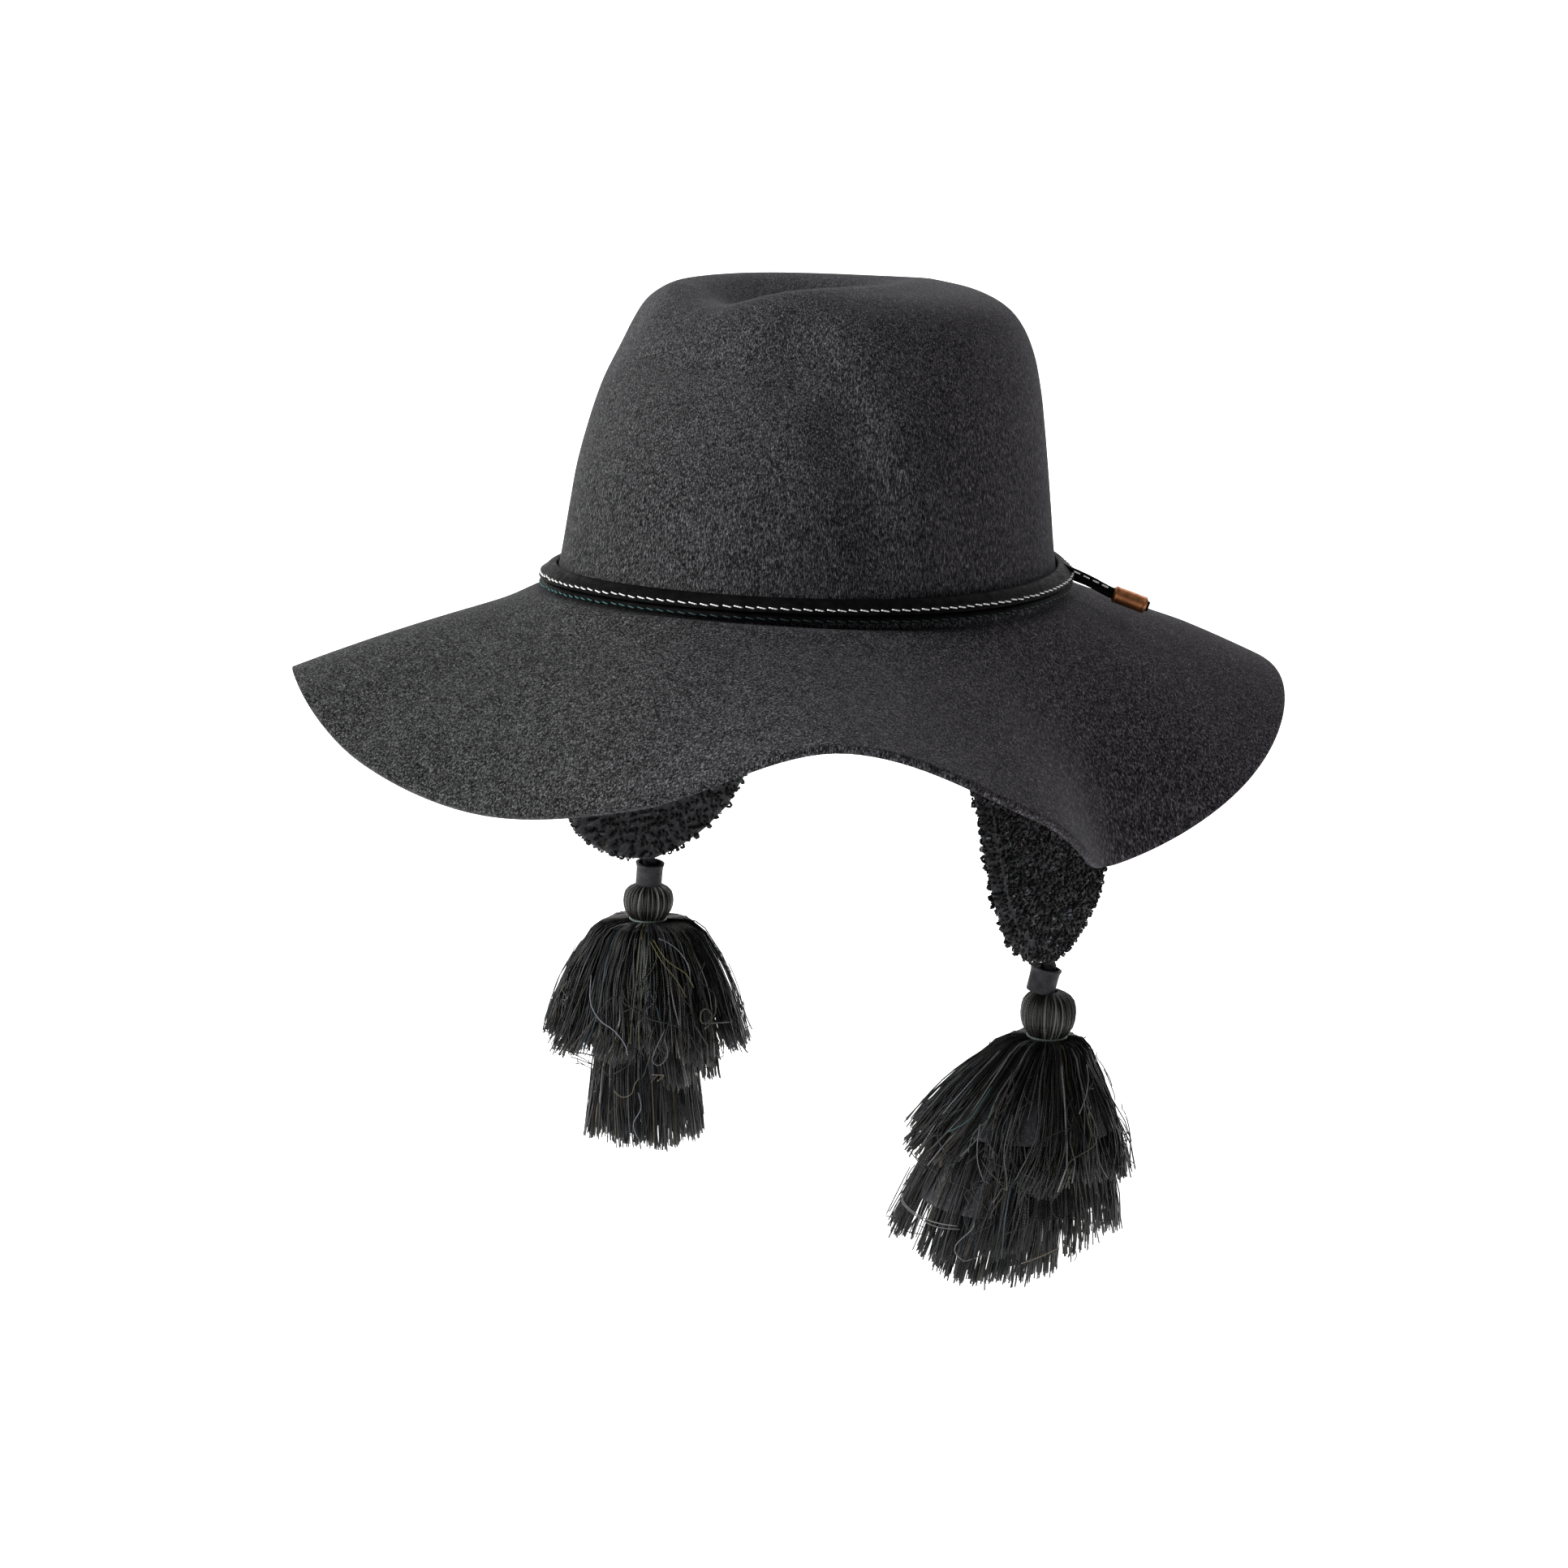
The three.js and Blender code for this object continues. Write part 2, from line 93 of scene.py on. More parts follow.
def build_floor():
    shape = bmesh.new()
    away = Vector((-backward.x, -backward.y, 0)).normalized()
    sideways = away.cross(Vector((0, 0, 1)))
    bmesh.ops.create_grid(shape, x_segments=1, y_segments=40, size=1)
    rows = sorted({round(v.co.y, 5) for v in shape.verts})
    for v in shape.verts:
        row = rows.index(round(v.co.y, 5)) / (len(rows) - 1)
        if row < FLAT_SHARE:
            forward = -SWEEP_SIZE + row / FLAT_SHARE * (SWEEP_SIZE + SWEEP_START)
            height = 0
        elif row < CURVE_SHARE:
            turn = (row - FLAT_SHARE) / (CURVE_SHARE - FLAT_SHARE) * math.pi / 2
            forward = SWEEP_START + SWEEP_RADIUS * math.sin(turn)
            height = SWEEP_RADIUS * (1 - math.cos(turn))
        else:
            forward = SWEEP_START + SWEEP_RADIUS
            height = SWEEP_RADIUS + (row - CURVE_SHARE) / (1 - CURVE_SHARE) * SWEEP_SIZE
        v.co = away * forward + sideways * v.co.x * SWEEP_SIZE
        v.co.z = FLOOR_Z + height
    bmesh.ops.recalc_face_normals(shape, faces=shape.faces)
    mesh = bpy.data.meshes.new("floor")
    shape.to_mesh(mesh)
    shape.free()
    mesh.shade_smooth()
    floor = bpy.data.objects.new("floor", mesh)
    scene.collection.objects.link(floor)
    material = new_material("pale_floor")[0]
    bsdf = shader(material)
    bsdf.inputs["Base Color"].default_value = (0.93, 0.93, 0.93, 1)
    bsdf.inputs["Roughness"].default_value = 0.9
    bsdf.inputs["Emission Color"].default_value = (1, 1, 1, 1)
    bsdf.inputs["Emission Strength"].default_value = 0.72
    mesh.materials.append(material)


def add_area_light(name, azimuth, elevation, distance, size, power):
    """A round soft light that faces the hat, with its angles in degrees."""
    data = bpy.data.lights.new(name, "AREA")
    data.shape = "DISK"
    data.size = size
    data.energy = power
    light = bpy.data.objects.new(name, data)
    azimuth, elevation = math.radians(azimuth), math.radians(elevation)
    direction = Vector((math.sin(azimuth) * math.cos(elevation), -math.cos(azimuth) * math.cos(elevation),
                        math.sin(elevation)))
    light.location = direction * distance
    light.rotation_euler = direction.to_track_quat("Z", "Y").to_euler()
    scene.collection.objects.link(light)


build_floor()
for light in LIGHTS:
    add_area_light(**light)
world = bpy.data.worlds.new("studio")
world.use_nodes = True
world.node_tree.nodes["Background"].inputs["Color"].default_value = (1, 1, 1, 1)
world.node_tree.nodes["Background"].inputs["Strength"].default_value = 0.2
scene.world = world
scene.view_settings.view_transform = "Standard"

# Felt body
# Crown and brim are one wool felt, blocked to shape, 2.5 mm thick and left raw at its cut edge.
# The wool is a heather of black, greys and a few paler fibres, with a short fuzz that catches the light.
MM = 0.001
FELT_WALL = 2.5
BRIM_WIDTH = 91.8
SIDE_BREAK_DROP = 3.5
BREAK_DROP_REACH = 25
# Height, and outer half-lengths to the front, the back and the side
CROWN_ROWS = np.array([
    (0, 99.5, 100.5, 84.5),
    (8, 96.2, 97.5, 81.2),
    (28, 91.5, 95, 78.8),
    (42, 88, 93.4, 77.2),
    (56, 82, 92.2, 75.2),
    (68, 75.5, 91.3, 73),
    (80, 67.4, 89.5, 69.7),
    (90, 63.5, 84.5, 65.5),
    (97, 60.5, 76, 60.5),
    (102, 56, 64, 52.5),
    (105, 50, 49, 42.5),
    (107, 37.5, 35, 31),
    (108.3, 16, 18, 15),
    (108.7, 0.02, 0.02, 0.02),
])
# Places pressed in or out of the felt: centre, reach, depth and the way they are pushed
FELT_DENTS = [
    {"centre": (-4, -7, 108), "reach": (40, 61, 60), "depth": 19, "push": (0, 0, -1)},
    {"centre": (-15, -65, 102), "reach": (50, 35, 40), "depth": 6, "push": (0, 0, -1)},
    {"centre": (44, 0, 104), "reach": (30, 60, 30), "depth": 1.3, "push": (0, 0, -1)},
    {"centre": (-46, -46, 93), "reach": (28, 30, 24), "depth": 3, "push": (0.6, 0.7, -0.2)},
    {"centre": (34, -56, 86), "reach": (17, 17, 30), "depth": 2.3, "push": (-0.5, 0.87, 0)},
    {"centre": (54, -54, 62), "reach": (17, 17, 28), "depth": 2.9, "push": (-0.74, 0.67, 0)},
    {"centre": (63, -51, 38), "reach": (17, 17, 27), "depth": 2.8, "push": (-0.85, 0.53, 0)},
    {"centre": (67, -51, 19), "reach": (14, 14, 18), "depth": 1.5, "push": (-0.88, 0.47, 0)},
    {"centre": (51, -41, 86), "reach": (17, 17, 27), "depth": 1.7, "push": (0.78, -0.63, 0)},
    {"centre": (66, -38, 60), "reach": (17, 17, 30), "depth": 2.1, "push": (0.91, -0.42, 0)},
    {"centre": (72, -35, 34), "reach": (17, 17, 28), "depth": 2.1, "push": (0.95, -0.31, 0)},
    {"centre": (52, 114, -9), "reach": (34, 34, 34), "depth": 3, "push": (0, 0, -1)},
]
# Fall of the brim in degrees at the break line and at its edge, every 22.5 degrees from the front leftwards
BRIM_FALLS = np.array([
    (25.3, 49.7), (14.6, 45.6), (12, 14.7), (25.7, 36.8),
    (42, 76.6), (27.6, 52.3), (17.6, 27.6), (16.3, 25.5),
    (13, 31.5), (11, 29), (11, 27.2), (27.8, 47),
    (38.3, 64.9), (20.7, 46.4), (12.7, 21), (24.9, 36),
])
# The felt swells against the foot of the lace, most at the wearer's right front. It is fully swollen a few
# millimetres out from the crown, and fades beyond that.
LACE_SEAT = {"swell": 2.1, "turn": math.radians(-29), "full": 3, "fade": 9}
FELT_TURNS = 264
CROWN_STEPS = 78
BRIM_STEPS = 44


def rows_at(rows, position, closed=False):
    """Values of every column between the rows of a table, on a Catmull-Rom curve."""
    position = np.asarray(position, dtype=float)
    last = len(rows) - 1
    first = np.floor(position).astype(int)
    if not closed:
        first = np.minimum(first, last - 1)
    part = (position - first)[..., None]
    a, b, c, d = (rows[(first + step) % len(rows) if closed else np.clip(first + step, 0, last)]
                  for step in (-1, 0, 1, 2))
    return b + 0.5 * part * (c - a + part * (2 * a - 5 * b + 4 * c - d + part * (3 * (b - c) + d - a)))


def oval_point(front, back, side, turn):
    """A point of the oval with these half-lengths. turn goes from the front to the wearer's left."""
    forward = np.cos(turn)
    return np.stack([side * np.sin(turn), -np.where(forward > 0, front, back) * forward,
                     np.zeros_like(turn + side)], -1)


def oval_outward(front, back, side, turn):
    """The level direction square to the oval."""
    forward = np.cos(turn)
    way = np.stack([np.sin(turn) / side, -forward / np.where(forward > 0, front, back),
                    np.zeros_like(turn + side)], -1)
    return way / np.linalg.norm(way, axis=-1, keepdims=True)


def break_level(turn):
    """Height of the line where crown and brim meet, which drops at the sides."""
    return -SIDE_BREAK_DROP * np.sin(turn) ** 2


def level_at(z, turn):
    """A height above the break line as a height of the hat. The drop of the line fades up the crown."""
    return z + break_level(turn) * np.exp(-z / BREAK_DROP_REACH)


def press_dents(point):
    """Points of the felt pushed by every dent that reaches them, most at its centre."""
    pressed = point.copy()
    for dent in FELT_DENTS:
        away = np.linalg.norm((point - dent["centre"]) / dent["reach"], axis=-1)
        share = np.where(away < 1, np.cos(np.minimum(away, 1) * math.pi / 2) ** 2, 0)
        pressed += np.array(dent["push"]) * (dent["depth"] * share)[..., None]
    return pressed


def crown_point(position, turn):
    """A point of the crown at a position between the rows of its table."""
    row = rows_at(CROWN_ROWS, position)
    z, front, back, side = np.moveaxis(row, -1, 0)
    point = oval_point(front, back, side, turn)
    point[..., 2] = level_at(z, turn)
    return press_dents(point)


def brim_point(share, turn):
    """A point of the brim at a share of its width, found by walking out from the break line as it falls."""
    front, back, side = CROWN_ROWS[0, 1:]
    outward = oval_outward(front, back, side, turn)
    azimuth = np.arctan2(outward[..., 0], -outward[..., 1]) % (2 * math.pi)
    start, end = np.moveaxis(rows_at(BRIM_FALLS, azimuth / (2 * math.pi) * len(BRIM_FALLS), True), -1, 0)
    point = oval_point(front, back, side, turn)
    point[..., 2] = break_level(turn)
    steps = 24
    for i in range(steps):
        slope = np.radians(start + (end - start) * share * (i + 0.5) / steps)
        stride = BRIM_WIDTH * share / steps
        point += outward * (np.cos(slope) * stride)[..., None]
        point[..., 2] -= np.sin(slope) * stride
    out = BRIM_WIDTH * share
    full, fade = LACE_SEAT["full"], LACE_SEAT["fade"]
    swell = LACE_SEAT["swell"] * (0.5 + 0.5 * np.cos(turn - LACE_SEAT["turn"]))
    point[..., 2] += swell * np.minimum(out / full, 1) * np.exp(-(np.maximum(out - full, 0) / fade) ** 2)
    return press_dents(point)


def felt_point(turn, run):
    """A point of the outer felt. run is 0 at the crest, 1 at the break line and 2 at the cut edge."""
    crown_position = (len(CROWN_ROWS) - 1) * (1 - np.minimum(run, 1))
    on_crown = crown_point(crown_position, turn)
    on_brim = brim_point(np.maximum(run - 1, 0), turn)
    return np.where((run <= 1)[..., None], on_crown, on_brim)


def mesh_object(name, shape, material):
    """Links a bmesh, given in millimetres, as an object in metres that rides on the hat."""
    bmesh.ops.scale(shape, vec=(MM, MM, MM), verts=shape.verts)
    mesh = bpy.data.meshes.new(name)
    shape.to_mesh(mesh)
    shape.free()
    mesh.shade_smooth()
    mesh.materials.append(material)
    piece = bpy.data.objects.new(name, mesh)
    scene.collection.objects.link(piece)
    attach(piece, "root")
    return piece


def grid_surface(across, along, place):
    """A bmesh grid whose parameters, from 0 to 1, are mapped to points in millimetres, with closed seams."""
    shape = bmesh.new()
    bmesh.ops.create_grid(shape, x_segments=across, y_segments=along, size=0.5)
    flat = np.array([v.co for v in shape.verts])
    placed = place(flat[:, 0] + 0.5, flat[:, 1] + 0.5)
    for v, point in zip(shape.verts, placed):
        v.co = point
    bmesh.ops.remove_doubles(shape, verts=shape.verts, dist=0.01)
    bmesh.ops.recalc_face_normals(shape, faces=shape.faces)
    return shape


def mix_colours(nodes, blend, first, second):
    """Two colours multiplied or added in full. A Mix node's colours are its sockets 6, 7 and output 2."""
    node = nodes.new("ShaderNodeMix")
    node.data_type = "RGBA"
    node.blend_type = blend
    node.inputs["Factor"].default_value = 1
    nodes.id_data.links.new(first, node.inputs[6])
    nodes.id_data.links.new(second, node.inputs[7])
    return node.outputs[2]


def noise(nodes, vector, scale, detail, roughness):
    node = nodes.new("ShaderNodeTexNoise")
    node.inputs["Scale"].default_value = scale
    node.inputs["Detail"].default_value = detail
    node.inputs["Roughness"].default_value = roughness
    nodes.id_data.links.new(vector, node.inputs["Vector"])
    return node.outputs["Fac"]


def stretched(nodes, vector, scale, turn=(0, 0, 0)):
    node = nodes.new("ShaderNodeMapping")
    node.inputs["Scale"].default_value = scale
    node.inputs["Rotation"].default_value = turn
    nodes.id_data.links.new(vector, node.inputs["Vector"])
    return node.outputs["Vector"]


def ramp(nodes, factor, *stops):
    """Colours or greys by position, from stops of (position, colour)."""
    node = nodes.new("ShaderNodeValToRGB")
    elements = node.color_ramp.elements
    while len(elements) < len(stops):
        elements.new(0.5)
    for element, (position, colour) in zip(elements, stops):
        element.position = position
        element.color = (*colour, 1) if isinstance(colour, tuple) else (colour, colour, colour, 1)
    nodes.id_data.links.new(factor, node.inputs["Fac"])
    return node.outputs["Color"]


def bump(nodes, height, strength, distance, normal=None):
    node = nodes.new("ShaderNodeBump")
    node.inputs["Strength"].default_value = strength
    node.inputs["Distance"].default_value = distance
    links = nodes.id_data.links
    links.new(height, node.inputs["Height"])
    if normal is not None:
        links.new(normal, node.inputs["Normal"])
    return node.outputs["Normal"]


def object_place(nodes):
    return nodes.new("ShaderNodeTexCoord").outputs["Object"]


# How fine the wool's grain is on the brim against the crown, and the height in metres over which it changes
BRIM_GRAIN = 0.6
GRAIN_CHANGE_Z = 0.006
# Turns of the mapping that lays the paler fibres in five directions, and their fineness across and along
FIBRE_TURNS = [(0, 0, 0), (1.2, 0.5, 0.3), (0.4, 1.4, 1.1), (0.9, 2.3, 0.4), (2.1, 0.9, 1.9)]
FIBRE_SCALE = (2900, 2900, 430)
# The felt is a little greener at the left of the view and more violet at the right
TINT_SLOPE = (2.4, 1.7, 0)
TINTS = [(0.1, (0.98, 1.01, 0.99)), (0.5, (1.0, 0.98, 1.05)), (0.9, (1.03, 0.93, 1.1))]


def wool_place(nodes, place):
    """Where the wool's grain is drawn. It is coarser on the brim, and the lace covers the change."""
    links = nodes.id_data.links
    split = nodes.new("ShaderNodeSeparateXYZ")
    links.new(place, split.inputs[0])
    fineness = nodes.new("ShaderNodeMapRange")
    links.new(split.outputs["Z"], fineness.inputs["Value"])
    fineness.inputs["From Min"].default_value = 0
    fineness.inputs["From Max"].default_value = GRAIN_CHANGE_Z
    fineness.inputs["To Min"].default_value = BRIM_GRAIN
    fineness.inputs["To Max"].default_value = 1
    scaled = nodes.new("ShaderNodeVectorMath")
    scaled.operation = "SCALE"
    links.new(place, scaled.inputs[0])
    links.new(fineness.outputs["Result"], scaled.inputs["Scale"])
    return scaled.outputs["Vector"]


def heather_felt():
    """Dark wool with grey specks, broad uneven patches and paler fibres, under a faint fuzz."""
    material, nodes, links = new_material("heather_felt")
    hat_place = object_place(nodes)
    place = wool_place(nodes, hat_place)
    wool = ramp(nodes, noise(nodes, place, 1500, 3, 0.7),
                (0.34, 0.0012), (0.47, 0.0056), (0.56, 0.014), (0.68, 0.04))
    mottle = ramp(nodes, noise(nodes, place, 420, 2, 0.6), (0.3, 0.35), (0.7, 1.5))
    wool = mix_colours(nodes, "MULTIPLY", wool, mottle)
    cloud = ramp(nodes, noise(nodes, place, 60, 3, 0.6), (0.3, 0.8), (0.7, 1.2))
    wool = mix_colours(nodes, "MULTIPLY", wool, cloud)
    for turn in FIBRE_TURNS:
        fibres = noise(nodes, stretched(nodes, place, FIBRE_SCALE, turn), 1, 1, 0.5)
        wool = mix_colours(nodes, "ADD", wool, ramp(nodes, fibres, (0.6, 0.0), (0.72, 0.057)))
    across = nodes.new("ShaderNodeVectorMath")
    across.operation = "DOT_PRODUCT"
    across.inputs[1].default_value = TINT_SLOPE
    links.new(hat_place, across.inputs[0])
    from_left = nodes.new("ShaderNodeMath")
    from_left.operation = "ADD"
    from_left.inputs[1].default_value = 0.5
    links.new(across.outputs["Value"], from_left.inputs[0])
    wool = mix_colours(nodes, "MULTIPLY", wool, ramp(nodes, from_left.outputs["Value"], *TINTS))
    bsdf = shader(material)
    links.new(wool, bsdf.inputs["Base Color"])
    bsdf.inputs["Roughness"].default_value = 0.95
    bsdf.inputs["Specular IOR Level"].default_value = 0.05
    bsdf.inputs["Sheen Weight"].default_value = 0.055
    bsdf.inputs["Sheen Roughness"].default_value = 0.35
    bsdf.inputs["Sheen Tint"].default_value = (0.78, 0.76, 0.82, 1)
    fine = bump(nodes, noise(nodes, place, 1300, 3, 0.7), 0.5, 0.0004)
    links.new(bump(nodes, noise(nodes, place, 210, 3, 0.6), 0.25, 0.0008, fine), bsdf.inputs["Normal"])
    return material


felt = heather_felt()


def build_felt():
    rings = CROWN_STEPS + BRIM_STEPS
    share = CROWN_STEPS / rings

    def place(u, v):
        run = np.where(v <= share, v / share, 1 + (v - share) / (1 - share))
        return felt_point(u * 2 * math.pi, run)

    shape = grid_surface(FELT_TURNS, rings, place)
    piece = mesh_object("felt_hat", shape, felt)
    wall = piece.modifiers.new("wall", "SOLIDIFY")
    wall.thickness = FELT_WALL * MM
    wall.offset = -1
    wall.use_quality_normals = True
    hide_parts("felt_body")


build_felt()

# Leather lace
# A soft black leather lace, folded to a roll and stitched along its lower lip, wound twice round the crown.
# Its two ends leave the turns behind the wearer's left side and pass through the bead.
LACE_GAP = 0.35
LACE_SEGMENTS = 240
# Sections as distance out from the felt and height above the break line
UPPER_TURN = [(0.1, 5.6), (0, 7.8), (0.4, 8.8), (1.3, 9.2), (2.5, 9.0), (3.6, 8.2), (4.2, 7.3), (4.5, 6.7),
              (5.0, 6.3), (5.3, 5.6), (5.15, 5.0), (4.6, 4.8), (2.6, 4.85), (0.9, 4.95)]
LOWER_TURN = [(0.1, 2.5), (0, 4.0), (0.6, 4.65), (1.9, 4.75), (3.0, 4.6), (3.7, 4.1), (3.9, 3.4), (3.7, 2.6),
              (3.2, 2.2), (1.2, 2.2)]
# The free ends leave the turns at the first place and reach the bead at the second, each given as distance
# out from the felt and height above the break line
TAIL_AZIMUTH = math.radians(127)
TAIL_START = (1.5, 7)
BEAD_END = (17.5, -0.4)
TAIL_HEADING = math.radians(124)
TAIL_FALL = math.radians(19)
TAIL_PAST = 1.4
BEAD_LENGTH = 11.6
# Half sizes of an end, how much thicker it is at the turns, its share of that width in the bead, how far the
# ends stand off the line between them at the turns and in the bead, and how much they bow upwards on the way
STRAP = {"width": 1.3, "height": 0.9, "thicker": 0.4, "bead_width": 0.85, "apart": 1.0, "in_bead": 0.88,
         "bow": 0.4}
STRAP_STEPS = 14
STRAP_CORNERS = 12


def crown_wall(z, turn):
    """A point of the crown's wall and its outward direction, without the dents."""
    z = np.maximum(z, 0)
    front, back, side = (np.interp(z, CROWN_ROWS[:, 0], CROWN_ROWS[:, i]) for i in (1, 2, 3))
    return oval_point(front, back, side, turn), oval_outward(front, back, side, turn)


def lace_point(out, z, turn):
    """A point at a distance out from the crown and a height above the break line."""
    point, outward = crown_wall(z, turn)
    point = point + outward * (out + LACE_GAP)[..., None]
    point[..., 2] = level_at(z, turn)
    return point


def leather(name, base, wear_and_light, grain_scale, roughness, gloss):
    """Leather in patches of two colours, with a fine grain of creased cells, darkened along the crease lines:
    painted shade.
    """
    material, nodes, links = new_material(name)
    place = object_place(nodes)
    cells = nodes.new("ShaderNodeTexVoronoi")
    cells.feature = "DISTANCE_TO_EDGE"
    cells.inputs["Scale"].default_value = grain_scale
    links.new(place, cells.inputs["Vector"])
    patches = ramp(nodes, noise(nodes, place, 260, 3, 0.6), (0.35, base), (0.7, wear_and_light))
    # The crease lines between the grain's cells are darkened: painted shade.
    crease_shade = ramp(nodes, cells.outputs["Distance"], (0.0, 0.55), (0.12, 1.0))
    bsdf = shader(material)
    links.new(mix_colours(nodes, "MULTIPLY", patches, crease_shade), bsdf.inputs["Base Color"])
    rough = ramp(nodes, noise(nodes, place, 420, 2, 0.5), (0.3, roughness - 0.1), (0.7, roughness + 0.12))
    links.new(rough, bsdf.inputs["Roughness"])
    bsdf.inputs["Specular IOR Level"].default_value = gloss
    fine = bump(nodes, cells.outputs["Distance"], 0.5, 0.00025)
    links.new(bump(nodes, noise(nodes, place, 240, 2, 0.5), 0.3, 0.0006, fine), bsdf.inputs["Normal"])
    return material


def thread_material(name, roughness, tone=None, gloss=0.3):
    """Twisted thread whose plies wind round it. Without a tone each strand has its own colour."""
    material, nodes, links = new_material(name)
    bsdf = shader(material)
    uv = nodes.new("ShaderNodeUVMap")
    uv.uv_map = "strand"
    plies = nodes.new("ShaderNodeTexWave")
    plies.bands_direction = "DIAGONAL"
    plies.inputs["Scale"].default_value = 0.2 * math.pi
    plies.inputs["Distortion"].default_value = 0.4
    links.new(uv.outputs["UV"], plies.inputs["Vector"])
    # The plies' crests are lightened and the grooves between them darkened in colour: painted light and
    # painted shade.
    shade = ramp(nodes, plies.outputs["Fac"], (0.1, 0.6), (0.7, 1.15))
    if tone is None:
        own = nodes.new("ShaderNodeVertexColor")
        own.layer_name = "tone"
        colour = own.outputs["Color"]
    else:
        colour = ramp(nodes, noise(nodes, object_place(nodes), 700, 2, 0.5),
                      (0.3, tuple(0.8 * c for c in tone)), (0.7, tone))
    links.new(mix_colours(nodes, "MULTIPLY", colour, shade), bsdf.inputs["Base Color"])
    bsdf.inputs["Roughness"].default_value = roughness
    bsdf.inputs["Specular IOR Level"].default_value = gloss
    links.new(bump(nodes, plies.outputs["Fac"], 0.5, 0.00015), bsdf.inputs["Normal"])
    return material


# A direction that no strand runs along, from which the corners of its section are counted
STRAND_GUIDE = [0.31, 0.87, 0.39]


def strands(name, paths, radius, tones, material, sides):
    """One mesh of many closed tubes. paths holds strand, step and XYZ, and tones a colour a strand."""
    paths = np.asarray(paths, dtype=float)
    count, steps = paths.shape[:2]
    radius = np.broadcast_to(np.asarray(radius, dtype=float).reshape(-1, 1), (count, steps))
    tangent = np.gradient(paths, axis=1)
    tangent /= np.linalg.norm(tangent, axis=-1, keepdims=True) + 1e-9
    guide = np.cross(tangent[:, :1], STRAND_GUIDE)
    guide = guide - (guide * tangent).sum(-1, keepdims=True) * tangent
    guide /= np.linalg.norm(guide, axis=-1, keepdims=True) + 1e-9
    binormal = np.cross(tangent, guide)
    angle = 2 * math.pi * np.arange(sides) / sides
    ring = (np.cos(angle)[None, None, :, None] * guide[:, :, None, :]
            + np.sin(angle)[None, None, :, None] * binormal[:, :, None, :])
    points = paths[:, :, None, :] + ring * radius[:, :, None, None]
    index = np.arange(count * steps * sides).reshape(count, steps, sides)
    beside = np.roll(index, -1, axis=2)
    quads = np.stack([index[:, :-1], beside[:, :-1], beside[:, 1:], index[:, 1:]], -1).reshape(-1, 4)
    starts = index[:, 0, ::-1].reshape(-1, sides)
    ends = index[:, -1].reshape(-1, sides)
    corners = np.concatenate([quads.ravel(), starts.ravel(), ends.ravel()])
    totals = np.concatenate([np.full(len(quads), 4), np.full(len(starts) + len(ends), sides)])
    mesh = bpy.data.meshes.new(name)
    mesh.vertices.add(points.size // 3)
    mesh.vertices.foreach_set("co", (points * MM).ravel())
    mesh.loops.add(len(corners))
    mesh.loops.foreach_set("vertex_index", corners.astype(np.int32))
    mesh.polygons.add(len(totals))
    begin = np.concatenate([[0], np.cumsum(totals)[:-1]])
    mesh.polygons.foreach_set("loop_start", begin.astype(np.int32))
    mesh.update(calc_edges=True)
    length = np.concatenate([np.zeros((count, 1)),
                             np.cumsum(np.linalg.norm(np.diff(paths, axis=1), axis=-1), axis=1)], 1)
    u = np.broadcast_to((np.arange(sides) / sides)[None, None, :], index.shape).ravel()
    v = np.broadcast_to(length[:, :, None], index.shape).ravel()
    layer = mesh.uv_layers.new(name="strand")
    layer.data.foreach_set("uv", np.stack([u[corners], v[corners]], -1).ravel())
    colour = mesh.color_attributes.new("tone", "FLOAT_COLOR", "POINT")
    tones = np.broadcast_to(np.asarray(tones, dtype=float).reshape(-1, 3), (count, 3))
    full = np.concatenate([tones, np.ones((count, 1))], 1)
    colour.data.foreach_set("color", np.repeat(full, steps * sides, axis=0).ravel())
    mesh.shade_smooth()
    mesh.materials.append(material)
    piece = bpy.data.objects.new(name, mesh)
    scene.collection.objects.link(piece)
    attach(piece, "root")
    return piece


black_leather = leather("black_leather", (0.0015, 0.0015, 0.0018), (0.005, 0.005, 0.0055), 1500, 0.55, 0.02)
stitch_thread = thread_material("stitch_thread", 0.55)


def around_profile(profile, v):
    """Both values of a closed profile at shares of its length."""
    return np.moveaxis(rows_at(profile, v * len(profile) % len(profile), True), -1, 0)


def lace_turn(section):
    """One turn round the crown, closed both along and across."""
    section = np.array(section, dtype=float)

    def place(u, v):
        out, z = around_profile(section, v)
        return lace_point(out, z, u * 2 * math.pi)

    return grid_surface(LACE_SEGMENTS, 3 * len(section), place)


def tail_line():
    """Where the free ends start, where the bead starts, and the bead's directions along, across and up."""
    turn = np.array(TAIL_AZIMUTH)
    start = lace_point(np.array(TAIL_START[0]), np.array(TAIL_START[1]), turn)
    near_end = lace_point(np.array(BEAD_END[0]), np.array(BEAD_END[1]), turn)
    level = math.cos(TAIL_FALL)
    axis = np.array([math.sin(TAIL_HEADING) * level, -math.cos(TAIL_HEADING) * level, -math.sin(TAIL_FALL)])
    across = np.cross(axis, [0, 0, 1])
    across /= np.linalg.norm(across)
    return start, near_end, axis, across, np.cross(across, axis)


